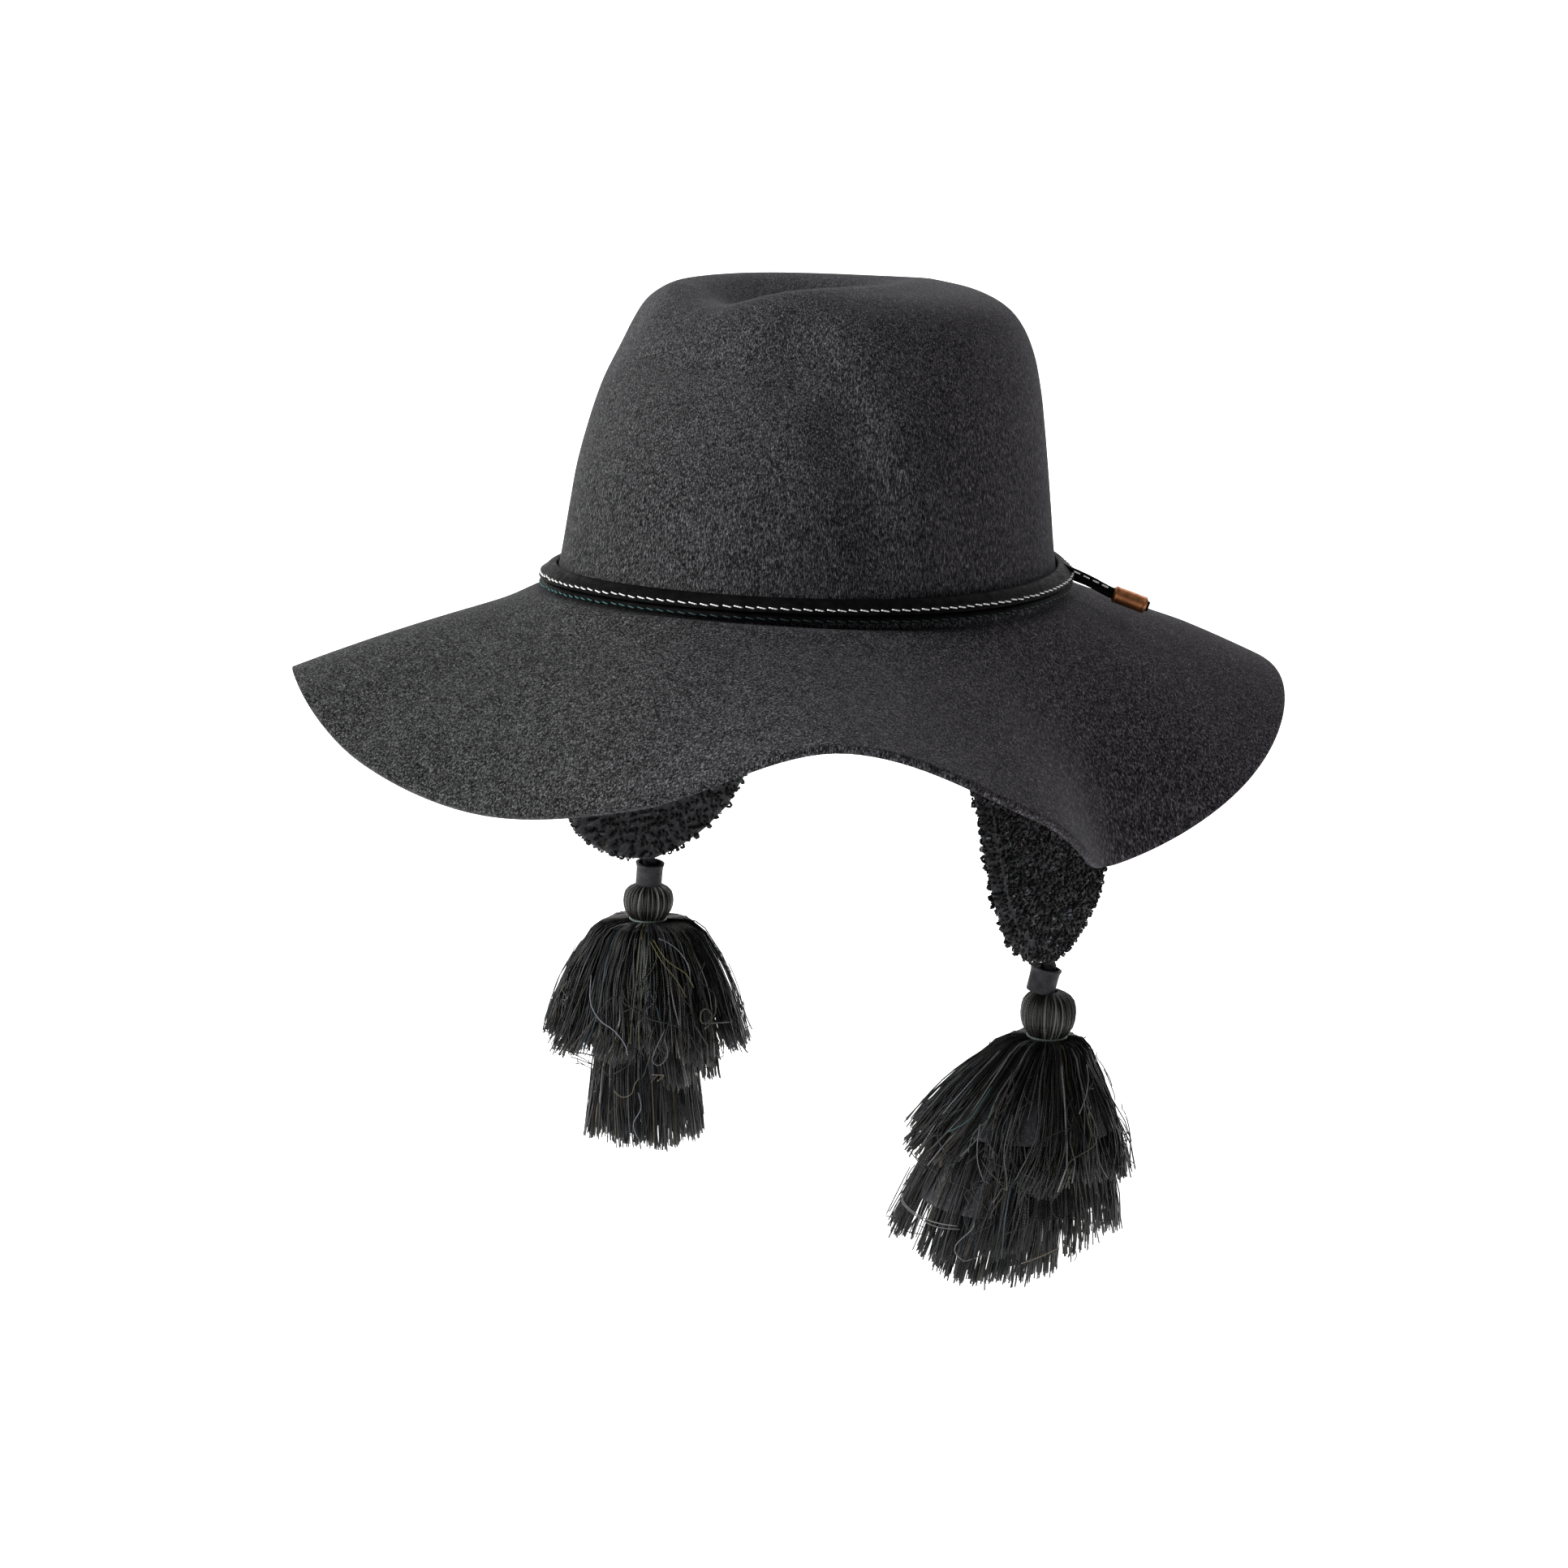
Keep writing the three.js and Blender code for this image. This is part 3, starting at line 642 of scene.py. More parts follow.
def tail_strap(way):
    """One free end, a rounded strap from the turns to past the bead. way is 1 for the upper end, else -1."""
    start, near_end, axis, across, up = tail_line()
    apart, in_bead = up * way * STRAP["apart"], up * way * STRAP["in_bead"]
    knots = np.array([start + apart, (start + near_end) / 2 + apart * 0.8 + up * STRAP["bow"],
                      near_end - axis * 1.5 + in_bead, near_end + axis * BEAD_LENGTH * 0.5 + in_bead,
                      near_end + axis * (BEAD_LENGTH + TAIL_PAST) + in_bead])
    middle = rows_at(knots, np.linspace(0, len(knots) - 1, STRAP_STEPS))
    shape = bmesh.new()
    rings = []
    for k in range(STRAP_STEPS):
        half_width = STRAP["width"] * (1 if k < STRAP_STEPS * 0.35 else STRAP["bead_width"])
        half_height = STRAP["height"] + STRAP["thicker"] * (1 - k / STRAP_STEPS)
        ring = []
        for corner in range(STRAP_CORNERS):
            angle = 2 * math.pi * corner / STRAP_CORNERS
            c, s = math.cos(angle), math.sin(angle)
            wide = half_width * math.copysign(abs(c) ** 0.6, c)
            tall = half_height * math.copysign(abs(s) ** 0.6, s)
            ring.append(shape.verts.new(middle[k] + across * wide + up * tall))
        rings.append([shape.edges.new(pair) for pair in zip(ring, ring[1:] + ring[:1])])
    for near, far in zip(rings, rings[1:]):
        bmesh.ops.bridge_loops(shape, edges=near + far)
    bmesh.ops.contextual_create(shape, geom=rings[0])
    bmesh.ops.contextual_create(shape, geom=rings[-1])
    bmesh.ops.recalc_face_normals(shape, faces=shape.faces)
    return shape


def build_lace():
    upper = mesh_object("lace_upper_turn", lace_turn(UPPER_TURN), black_leather)
    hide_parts("leather_lace")
    lower = mesh_object("lace_lower_turn", lace_turn(LOWER_TURN), black_leather)
    for name, way in (("lace_upper_end", 1), ("lace_lower_end", -1)):
        end = mesh_object(name, tail_strap(way), black_leather)


STITCH_SEED = 11
STITCH_PITCH = 3.8
STITCH_SLANT = 0.22
WHITE_THREAD = (0.78, 0.78, 0.76)
TEAL_THREAD = (0.035, 0.12, 0.115)
# The turn at which the teal thread is painted most lit, towards the key light, and how far its colour reaches
# to both sides
TEAL_LIT_PLACE = {"turn": -0.35, "reach": 0.5}
# Stitches on the upper free end: how far along it each lies, their length and radius
END_STITCHES = {"places": (0.26, 0.44, 0.62, 0.8), "length": 2.4, "radius": 0.26}


def stitch_row(name, out, z, radius, stitch_length, tone_at):
    """Saddle stitches round a turn: each dips into the leather at both ends."""
    rng = np.random.default_rng(STITCH_SEED)
    fine = np.linspace(-0.2, 2 * math.pi + 0.2, 4000)
    line = lace_point(np.full_like(fine, out), np.full_like(fine, z), fine)
    length = np.concatenate([[0], np.cumsum(np.linalg.norm(np.diff(line, axis=0), axis=1))])
    first, last = np.interp([0, 2 * math.pi], fine, length)
    count = round((last - first) / STITCH_PITCH)
    middles = first + (last - first) * np.arange(count) / count
    middles = middles + rng.normal(0, 0.12, len(middles))
    steps = np.linspace(-0.5, 0.5, 7)
    where = middles[:, None] + steps[None, :] * stitch_length
    turn = np.interp(where, length, fine)
    rise = (1 - (2 * steps) ** 4)[None, :] * radius * 1.1 - radius * 0.55
    height = z - steps[None, :] * STITCH_SLANT * 2 + rng.normal(0, 0.08, (len(middles), 1))
    paths = lace_point(out + rise, height, turn)
    return strands(name, paths, radius, tone_at(turn[:, 3]), stitch_thread, sides=6)


def white_tone(turn):
    return np.broadcast_to(WHITE_THREAD, (len(turn), 3))


def teal_lit_tone(turn):
    """Teal at the wearer's right front, where the key light falls, and darkened almost to black elsewhere:
    painted light and painted shade.
    """
    away = (turn - TEAL_LIT_PLACE["turn"] + math.pi) % (2 * math.pi) - math.pi
    # The teal fades to near black away from the lit front: painted shade.
    wear_and_light = 0.15 + 0.85 * np.exp(-(away / TEAL_LIT_PLACE["reach"]) ** 2)
    return np.array(TEAL_THREAD) * wear_and_light[:, None]


def end_stitches():
    """Stitches along the side of the upper free end that faces the wearer's left front."""
    start, near_end, _, across, up = tail_line()
    along = (near_end - start) / np.linalg.norm(near_end - start)
    steps = np.linspace(-0.5, 0.5, 6)
    paths = []
    for place in END_STITCHES["places"]:
        middle = start + (near_end - start) * place + up * (1.5 - 0.3 * place) + across * 1.4
        paths.append([middle + along * step * END_STITCHES["length"] for step in steps])
    return strands("lace_end_stitches", paths, END_STITCHES["radius"], WHITE_THREAD, stitch_thread, sides=6)


def build_stitches():
    white = stitch_row("lace_stitches", out=5.2, z=6.2, radius=0.22, stitch_length=2.8, tone_at=white_tone)
    teal = stitch_row("lace_lower_stitches", out=3.85, z=2.8, radius=0.22, stitch_length=2.6,
                      tone_at=teal_lit_tone)
    for piece in (white, teal, end_stitches()):
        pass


build_lace()
build_stitches()

# Copper bead
# A short tube of rolled copper, pressed onto the two ends of the lace so that it holds them together.
# Its surface is satin and a little scratched, with a slightly raised rim at both ends.

# Distance along the bead and radius, from the bore round the outside
BEAD_PROFILE = np.array([
    (0.35, 2.35), (0, 2.5), (0, 2.9), (0.25, 3.05), (0.8, 3.02), (1.2, 2.95), (5.8, 3.0),
    (10.3, 2.95), (10.8, 3.02), (11.35, 3.05), (11.6, 2.9), (11.6, 2.5), (11.25, 2.35),
])
COPPER_DARK = (0.2, 0.08, 0.034)
COPPER_LIGHT = (0.37, 0.155, 0.068)


def satin_copper():
    """Copper in light and dark patches, with fine scratches round the tube."""
    material, nodes, links = new_material("satin_copper")
    place = object_place(nodes)
    scratches = noise(nodes, stretched(nodes, place, (600, 600, 6000)), 1, 2, 0.6)
    bsdf = shader(material)
    bsdf.inputs["Metallic"].default_value = 1
    patches = ramp(nodes, noise(nodes, place, 350, 3, 0.6), (0.3, COPPER_DARK), (0.7, COPPER_LIGHT))
    links.new(patches, bsdf.inputs["Base Color"])
    links.new(ramp(nodes, scratches, (0.3, 0.36), (0.7, 0.55)), bsdf.inputs["Roughness"])
    links.new(bump(nodes, scratches, 0.2, 0.0001), bsdf.inputs["Normal"])
    return material


def build_bead():
    _, near_end, axis, across, up = tail_line()

    def place(u, v):
        along, radius = around_profile(BEAD_PROFILE, v)
        turn = u * 2 * math.pi
        return (near_end + along[:, None] * axis + (radius * np.cos(turn))[:, None] * across
                + (radius * np.sin(turn))[:, None] * up)

    shape = grid_surface(48, 52, place)
    piece = mesh_object("copper_bead", shape, satin_copper())
    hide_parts("lace_bead")


build_bead()

# Knitted ear flaps
# Pads of looped black yarn about 7 mm thick that hang from inside the crown and end in a knotted tip.
# The outer face meets a strip round the edge in a sunken seam.
FLAP_THICKNESS = 7
FLAP_TOP_Z = 20
# Half-lengths of the oval that the top follows inside the crown, and the middle of the flap along it
FLAP_MIDDLE = (86.5, 89.1, 72.9)
FLAP_CENTRE_Y = 24.5
# The flap leaves the crown's curve as it hangs, is flat at this drop, and stands further out at its tip
FLAP_FLAT_DROP = 70
FLAP_TIP_DROP = 130
FLAP_TIP_X = 91
FLAP_TURN_OUT = math.radians(8.5)
FLAP_NECK_HALF = 2.9
# Height above the tip and half width. Below the second row the tip is round.
FLAP_OUTLINE = np.array([
    (0, 3), (2.5, 15.5), (8, 28.5), (16, 39.4), (28, 46.7),
    (44, 52.5), (66, 57.5), (95, 61), (125, 63), (155, 64),
])
# Powers that round the section: a smaller one makes it squarer
SECTION_ROUND = {"along": 0.7, "depth": 0.5}
# How far the pad and the feet of the loops lie inside the flap's surface
PAD_INSET = 0.9
LOOP_INSET = 1.0
SIDES = [
    {"name": "left", "hand": 1, "tip_z": -126, "lean": 0.17, "sleeve_gap": 2.7, "flap_seed": 21,
     "tassel_seed": 31},
    {"name": "right", "hand": -1, "tip_z": -118.5, "lean": 0, "sleeve_gap": 1.6, "flap_seed": 22,
     "tassel_seed": 32},
]
# The yarn's loops stand closer on the outer face than on the one that lies against the head, where they are
# larger and darker. The outer face is where the sine of the angle round the section is above a limit.
LOOP = {"pitch": 1.6, "inner_pitch": 2.7, "width": 1.3, "height": 0.85, "radius": 0.4}
OUTER_FACE = -0.15
INNER_SIZE = 1.5
INNER_TONE = 0.7
LOOP_GREYS = [0.002, 0.006, 0.02, 0.065, 0.15]
LOOP_SHARES = [0.34, 0.3, 0.2, 0.12, 0.04]
SEAM = {"inset": 5.3, "half": 0.75}
# The knot of yarn at the tip: strands, steps along them, height above the tip, length, twist, how wide it is
# at its top and how much narrower at its foot
KNOT = {"strands": 3, "steps": 14, "top": 2.5, "length": 7.2, "twist": 3.6, "wide": 1.5, "narrower": 0.5}
KNOT_STRAND = 1.15
KNOT_TONE = (0.02, 0.02, 0.023)


def smoothstep(value, low, high):
    share = np.clip((value - low) / (high - low), 0, 1)
    return share * share * (3 - 2 * share)


def flap_point(along, z):
    """Middle of the knit on the left side, at a distance along its width and a height."""
    front, back, side = FLAP_MIDDLE
    turn = math.pi / 2 + (FLAP_CENTRE_Y + along) / back
    curved = oval_point(front, back, side, turn)
    out = smoothstep(-z, 0, FLAP_TIP_DROP)
    flat_x = side + (FLAP_TIP_X - side) * out
    flat = np.stack([flat_x - math.sin(FLAP_TURN_OUT) * along,
                     FLAP_CENTRE_Y + math.cos(FLAP_TURN_OUT) * along, np.zeros_like(along + z)], -1)
    blend = smoothstep(-z, 0, FLAP_FLAT_DROP)[..., None]
    point = curved + (flat - curved) * blend
    point[..., 2] = z
    return point


def flap_outward(along, z):
    """The level direction square to the knit, away from the head."""
    step = flap_point(along + 1, z) - flap_point(along - 1, z)
    way = np.stack([step[..., 1], -step[..., 0], np.zeros_like(step[..., 0])], -1)
    return way / np.linalg.norm(way, axis=-1, keepdims=True)


def flap_surface(side, angle, drop, inset=0.0):
    """A point on the pad. angle goes round its section and drop from 0 at the top to 1 at the tip."""
    z = FLAP_TOP_Z + (side["tip_z"] - FLAP_TOP_Z) * drop
    above = z - side["tip_z"]
    half = np.interp(above, FLAP_OUTLINE[:, 0], FLAP_OUTLINE[:, 1])
    (_, tip_half), (round_height, round_half) = FLAP_OUTLINE[:2]
    rounded = tip_half + (round_half - tip_half) * np.sqrt(np.maximum(above, 0) / round_height)
    half = np.where(above < round_height, rounded, half) - inset
    thick = np.minimum(FLAP_THICKNESS, np.maximum(half * 0.6, 2 * FLAP_NECK_HALF)) - 2 * inset
    c, s = np.cos(angle), np.sin(angle)
    along = side["lean"] * above + half * np.sign(c) * np.abs(c) ** SECTION_ROUND["along"]
    depth = thick / 2 * np.sign(s) * np.abs(s) ** SECTION_ROUND["depth"]
    point = flap_point(along, z) + flap_outward(along, z) * depth[..., None]
    point[..., 0] *= side["hand"]
    return point


def knit_material():
    """Black wool between the loops, with greyer curls."""
    material, nodes, links = new_material("boucle_knit")
    place = object_place(nodes)
    curls = noise(nodes, place, 620, 3, 0.7)
    colour = ramp(nodes, curls, (0.3, (0.004, 0.004, 0.005)), (0.55, (0.012, 0.012, 0.015)),
                  (0.72, (0.05, 0.052, 0.062)))
    bsdf = shader(material)
    links.new(colour, bsdf.inputs["Base Color"])
    bsdf.inputs["Roughness"].default_value = 0.95
    bsdf.inputs["Sheen Weight"].default_value = 0.1
    links.new(bump(nodes, curls, 0.9, 0.0012), bsdf.inputs["Normal"])
    return material


knit = knit_material()
yarn = thread_material("boucle_yarn", 0.85)


def loop_places(side, rng):
    """Angle round the pad and drop of every loop. None stands along the seam of the outer face."""
    angles, drops = [], []
    height = FLAP_TOP_Z - side["tip_z"]
    fine = np.linspace(0, 2 * math.pi, 720)
    for row, depth in enumerate(np.arange(0.8, height - 0.3, LOOP["pitch"])):
        around = flap_surface(side, fine, np.full_like(fine, depth / height))
        outer = np.sin(fine) > OUTER_FACE
        pitch = np.where(outer, LOOP["pitch"], LOOP["inner_pitch"])
        strides = np.linalg.norm(np.diff(around, axis=0), axis=1) / pitch[1:]
        run = np.concatenate([[0], np.cumsum(strides)])
        spots = np.arange(rng.uniform(0, 1), run[-1] - 0.6, 1.0)
        spots = np.interp(spots + rng.normal(0, 0.16, len(spots)), run, fine)
        if row % 2:
            spots = spots[np.sin(spots) > OUTER_FACE]
        angles.append(spots)
        drops.append(np.full(len(spots), depth / height) + rng.normal(0, 0.6 / height, len(spots)))
    angles, drops = np.concatenate(angles), np.clip(np.concatenate(drops), 0.002, 0.996)
    above = height * (1 - drops)
    half, below = (np.interp(above + step, FLAP_OUTLINE[:, 0], FLAP_OUTLINE[:, 1]) for step in (0, -1))
    from_edge = half * (1 - np.abs(np.cos(angles)) ** SECTION_ROUND["along"]) / np.hypot(1, half - below)
    front_edge = (np.cos(angles) < 0) & (np.sin(angles) > 0)
    off_seam = ~(front_edge & (np.abs(from_edge - SEAM["inset"]) < SEAM["half"]))
    return angles[off_seam], drops[off_seam]


def build_pad(side):
    def place(u, v):
        return flap_surface(side, u * 2 * math.pi, v, inset=PAD_INSET)

    shape = grid_surface(72, 64, place)
    open_edges = [e for e in shape.edges if e.is_boundary]
    bmesh.ops.holes_fill(shape, edges=open_edges)
    bmesh.ops.recalc_face_normals(shape, faces=shape.faces)
    pad = mesh_object(f"{side['name']}_flap_pad", shape, knit)
    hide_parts(f"{side['name']}_ear_flap")


def nearest_middle(side, point):
    """The middle of the knit nearest to points on its surface, for telling inside from outside."""
    z = point[:, 2]
    along = side["lean"] * (z - side["tip_z"])
    straight = point.copy()
    straight[:, 0] *= side["hand"]
    for _ in range(6):
        middle = flap_point(along, z)
        step = flap_point(along + 0.5, z) - flap_point(along - 0.5, z)
        along = along + ((straight - middle) * step).sum(-1) / (step * step).sum(-1)
    half = np.interp(z - side["tip_z"], FLAP_OUTLINE[:, 0], FLAP_OUTLINE[:, 1])
    lean = side["lean"] * (z - side["tip_z"])
    along = lean + np.clip(along - lean, -(half - 3.6), half - 3.6)
    middle = flap_point(along, z)
    middle[:, 0] *= side["hand"]
    return middle


def pad_directions(side, angles, drops, base):
    """Unit vectors at points of the pad: out of it, and round its section."""
    step = 1e-3
    ahead, behind = (flap_surface(side, angles + way, drops, inset=LOOP_INSET) for way in (step, -step))
    below, above = (flap_surface(side, angles, drops + way, inset=LOOP_INSET) for way in (step, -step))
    round_it = ahead - behind
    out = np.cross(below - above, round_it)
    out /= np.linalg.norm(out, axis=-1, keepdims=True) + 1e-9
    out *= np.sign((out * (base - nearest_middle(side, base))).sum(-1, keepdims=True)) + 1e-9
    round_it /= np.linalg.norm(round_it, axis=-1, keepdims=True) + 1e-9
    return out, round_it


def build_loops(side, rng):
    """Short arcs of yarn that stand on the pad, most of them along or across its rows."""
    angles, drops = loop_places(side, rng)
    base = flap_surface(side, angles, drops, inset=LOOP_INSET)
    out, round_it = pad_directions(side, angles, drops, base)
    across = np.cross(out, round_it)
    outer = np.sin(angles) > OUTER_FACE
    spin = rng.normal(0, 0.7, len(base)) + rng.choice([0, math.pi / 2], len(base), p=[0.45, 0.55])
    way = np.cos(spin)[:, None] * round_it + np.sin(spin)[:, None] * across
    size = rng.uniform(0.75, 1.25, len(base)) * np.where(outer, 1, INNER_SIZE)
    arc = np.linspace(0.1, math.pi - 0.1, 4)
    paths = (base[:, None, :]
             + (np.cos(arc)[None, :] * LOOP["width"] / 2 * size[:, None])[..., None] * way[:, None, :]
             + (np.sin(arc)[None, :] * LOOP["height"] * size[:, None])[..., None] * out[:, None, :])
    paths += rng.normal(0, 0.1, paths.shape)
    grey = rng.choice(LOOP_GREYS, len(base), p=LOOP_SHARES) * np.where(outer, 1, INNER_TONE)
    tones = grey[:, None] * np.array([1.0, 1.0, 1.06]) * rng.uniform(0.85, 1.15, (len(base), 3))
    loops = strands(f"{side['name']}_flap_loops", paths, LOOP["radius"] * size, tones, yarn, sides=3)


def build_flap_tip(side, rng):
    """The flap's yarn ends, twisted together, that go down into the sleeve."""
    tip = flap_surface(side, np.array(math.pi / 2), np.array(1.0), inset=FLAP_NECK_HALF)
    step = np.linspace(0, 1, KNOT["steps"])
    paths = []
    for strand in range(KNOT["strands"]):
        turn = 2 * math.pi * strand / KNOT["strands"] + step * KNOT["twist"]
        wide = KNOT["wide"] - KNOT["narrower"] * step + rng.normal(0, 0.06, len(step))
        height = KNOT["top"] - step * KNOT["length"]
        paths.append(np.stack([wide * np.cos(turn), wide * np.sin(turn), height], -1) + tip)
    piece = strands(f"{side['name']}_flap_tip", paths, KNOT_STRAND, KNOT_TONE, yarn, sides=10)


for side in SIDES:
    rng = np.random.default_rng(side["flap_seed"])
    build_pad(side)
    build_loops(side, rng)
    build_flap_tip(side, rng)

# Tassels
# Each hangs from its flap's tip by a leather sleeve: a ball of thread, a tied neck and tiers of cut threads.
# The threads are black and charcoal, with some olive, brown, blue-grey and ochre ones.
SLEEVE = {"length": 8.8, "outer": 5.0, "wall": 1.0, "flare": 0.5}
# How far a sleeve leans to the wearer's left and back for each unit of height, and the shift of its foot
SLEEVE_LEANS = {"left": (0.17, 0.12), "right": (0.11, -0.05)}
SLEEVE_SHIFTS = {"left": (-2.4, -1.8, 0), "right": (0, 0, 0)}
BALLS = {"left": {"half": 9.3, "height": 15.4}, "right": {"half": 9.1, "height": 12.8}}
# Radius and height of the ball's coils as shares of its half width and height, from its top to the neck
BALL_PROFILE = [(0.4, -0.01), (0.68, 0.05), (0.9, 0.17), (0.99, 0.35), (1.0, 0.55), (0.93, 0.76),
                (0.76, 0.93), (0.68, 1.01), (0.67, 1.08)]
# Coils of the ball in its outer and its inner layer, how deep each layer lies, and their greys
BALL_LAYERS = [{"coils": 96, "depth": 0.0}, {"coils": 60, "depth": 0.5}]
COIL_RADIUS = 0.33
COIL_STEPS = 12
COIL_GREYS = [0.002, 0.01, 0.036, 0.12]
COIL_SHARES = [0.3, 0.26, 0.27, 0.17]
BALL_NECK = 6.1
NECK_LENGTH = 2.0
# Threads in a tier, its locks, length from the top of the ball, spread, how much the locks part and differ
# in length, how round its shoulder is (a smaller number is rounder), and how much lower it hangs at the
# wearer's left rear
TIERS = {
    "left": [
        {"count": 1150, "locks": 13, "length": 58, "spread": 42, "ragged": 3.5, "shoulder": 0.54, "tilt": 4},
        {"count": 950, "locks": 9, "length": 86, "spread": 41, "ragged": 2, "shoulder": 0.5, "tilt": -4},
        {"count": 700, "locks": 6, "length": 101, "spread": 22.5, "ragged": 1, "shoulder": 0.55, "tilt": 0},
    ],
    "right": [
        {"count": 1300, "locks": 12, "length": 59, "spread": 40.5, "ragged": 3.5, "shoulder": 0.36,
         "tilt": 0},
        {"count": 600, "locks": 7, "length": 68, "spread": 29, "ragged": 4, "shoulder": 0.45, "tilt": 5},
        {"count": 900, "locks": 7, "length": 97.5, "spread": 23, "ragged": 1, "shoulder": 0.5, "tilt": 0},
    ],
}
# How far the foot of the tassel swings to the wearer's left and back
SWING = {"left": (-12.5, -9.5), "right": (0, 0)}
THREAD_RADIUS = 0.3
THREAD_STEPS = 11
# Share of a tier's threads in its outer layer, share of loose ones, and how much more those sway
OUTER_SHARE = 0.62
LOOSE_SHARE = 0.12
LOOSE_SWAY = 2.8
# How far the threads rise over the neck before they fall
SHOULDER_RISE = 2.2
# Threads that lie together, in a bundle, share one of these tones
BUNDLES = 190
BUNDLE_TONES = [0.3, 0.8, 2.0]
BUNDLE_SHARES = [0.42, 0.33, 0.25]
STRAYS = 60
STRAY_RADIUS = 0.2
STRAY_STEPS = 14
STRAY_TONE = 0.8
# The dark inside, a sheet of the black knit in place of the inner threads, whose darkness between the outer
# threads is partly painted shade: its share of the tier's spread, how much shorter it is, its radius at the
# neck, how round its shoulder is, and the share of its outline that is its side
CORE = {"wide": 0.79, "shorter": 11, "neck": 4.5, "shoulder": 0.7, "side": 0.85}
# Radius of the ball's inside as a share of the ball's half width, by the share of its height. It starts below
# the ball's top and goes down into the neck.
BALL_CORE = [(0, 0.01), (0.1, 0.35), (0.3, 0.78), (0.6, 0.88), (0.85, 0.64), (1, 0.55)]
BALL_CORE_TOP = 0.8
BALL_CORE_LONGER = 1.2
BINDING = {"turns": 2, "radius": 6.9, "thread": 0.3, "below_ball": 0.5, "pitch": 0.4}
BINDING_TONE = (0.14, 0.18, 0.16)
# How light the threads of a tassel are, and how much lighter its ball is. Both tassels have the same threads;
# the one at the wearer's left, away from the key light, is made darker than the one at the right: painted
# shade.
TONE_AND_SHADE_SCALES = {"left": 0.5, "right": 0.92}
BALL_LIGHTER = 0.25
THREAD_TONES = np.array([
    (0.001, 0.001, 0.002), (0.004, 0.004, 0.005), (0.02, 0.02, 0.022), (0.045, 0.036, 0.025),
    (0.034, 0.036, 0.018), (0.022, 0.034, 0.043), (0.13, 0.13, 0.13), (0.13, 0.1, 0.045),
])
TONE_SHARES = [0.3, 0.24, 0.2, 0.07, 0.05, 0.06, 0.07, 0.01]
# Single threads that lie loose on a tassel: tone, and points as distance across the side that faces the
# wearer's left front and drop below the top of the ball
LOOSE = {
    "left": [
        ((0.16, 0.16, 0.16), [(-53, 73.5), (-46, 75.3), (-39, 75.8), (-31, 75.2)]),
        ((0.1, 0.1, 0.1), [(-52, 74.6), (-45, 76), (-38, 77), (-30, 76)]),
        ((0.22, 0.17, 0.12), [(-9, 85.5), (-5, 84.3), (-1, 83), (4, 81.2)]),
        ((0.03, 0.09, 0.09), [(-20, 29), (-23.5, 34), (-28, 40), (-35, 45)]),
        ((0.05, 0.07, 0.05), [(-19, 33), (-21, 38), (-26, 43), (-28, 49)]),
        ((0.17, 0.17, 0.18), [(13, 22), (13.6, 26), (12.6, 31), (10, 36)]),
        ((0.13, 0.13, 0.14), [(-24, 40), (-25, 47), (-24.4, 53), (-21, 60)]),
        ((0.09, 0.09, 0.08), [(-13, 36), (-16, 47), (-15, 58), (-19, 66)]),
    ],
    "right": [
        ((0.17, 0.18, 0.21), [(-20, 30), (-20, 39), (-16, 44.7), (-10.8, 47.4), (-6.4, 52), (-5.2, 56)]),
        ((0.1, 0.1, 0.08), [(26.6, 38), (27, 43), (24, 46), (21.5, 45), (22, 41), (25, 42), (25.6, 46),
                            (23, 48)]),
        ((0.14, 0.14, 0.15), [(24.5, 46.2), (28, 46.8), (33, 48)]),
        ((0.1, 0.1, 0.1), [(8.6, 46.5), (5.9, 52), (4, 57.5), (6.8, 59.3), (9.8, 55.7), (8.3, 50)]),
        ((0.1, 0.09, 0.05), [(-11.2, 76.4), (-8, 78.4), (-4.4, 76.8), (-3.2, 73), (-1.6, 70.6)]),
        ((0.13, 0.14, 0.16), [(-1.8, 76), (-0.6, 82), (-3.4, 88.5), (-0.7, 95)]),
        ((0.22, 0.2, 0.16), [(3.8, 66.5), (8.2, 66.8)]),
        ((0.16, 0.13, 0.08), [(2.9, 72), (5.5, 69.2), (8.2, 66.9)]),
        ((0.12, 0.11, 0.03), [(2.9, 16.5), (8.2, 23), (15.5, 28), (18.6, 33)]),
        ((0.09, 0.085, 0.03), [(1.8, 17), (7, 24), (12, 29.5), (16, 36)]),
        ((0.14, 0.15, 0.17), [(5, 16), (11.6, 19.6), (16.4, 25.5), (17.2, 31)]),
    ],
}

tassel_thread = thread_material("tassel_thread", 0.42, gloss=0.36)
binding_thread = thread_material("binding_thread", 0.3, BINDING_TONE)
grey_leather = leather("grey_leather", (0.013, 0.013, 0.015), (0.036, 0.036, 0.04), 1300, 0.5, 0.12)


def tassel_top(side):
    """Where the top of the ball hangs under its sleeve."""
    tip = flap_point(np.array(0.0), np.array(float(side["tip_z"])))
    return np.array([side["hand"] * tip[0], tip[1], side["tip_z"] - side["sleeve_gap"] - SLEEVE["length"]])


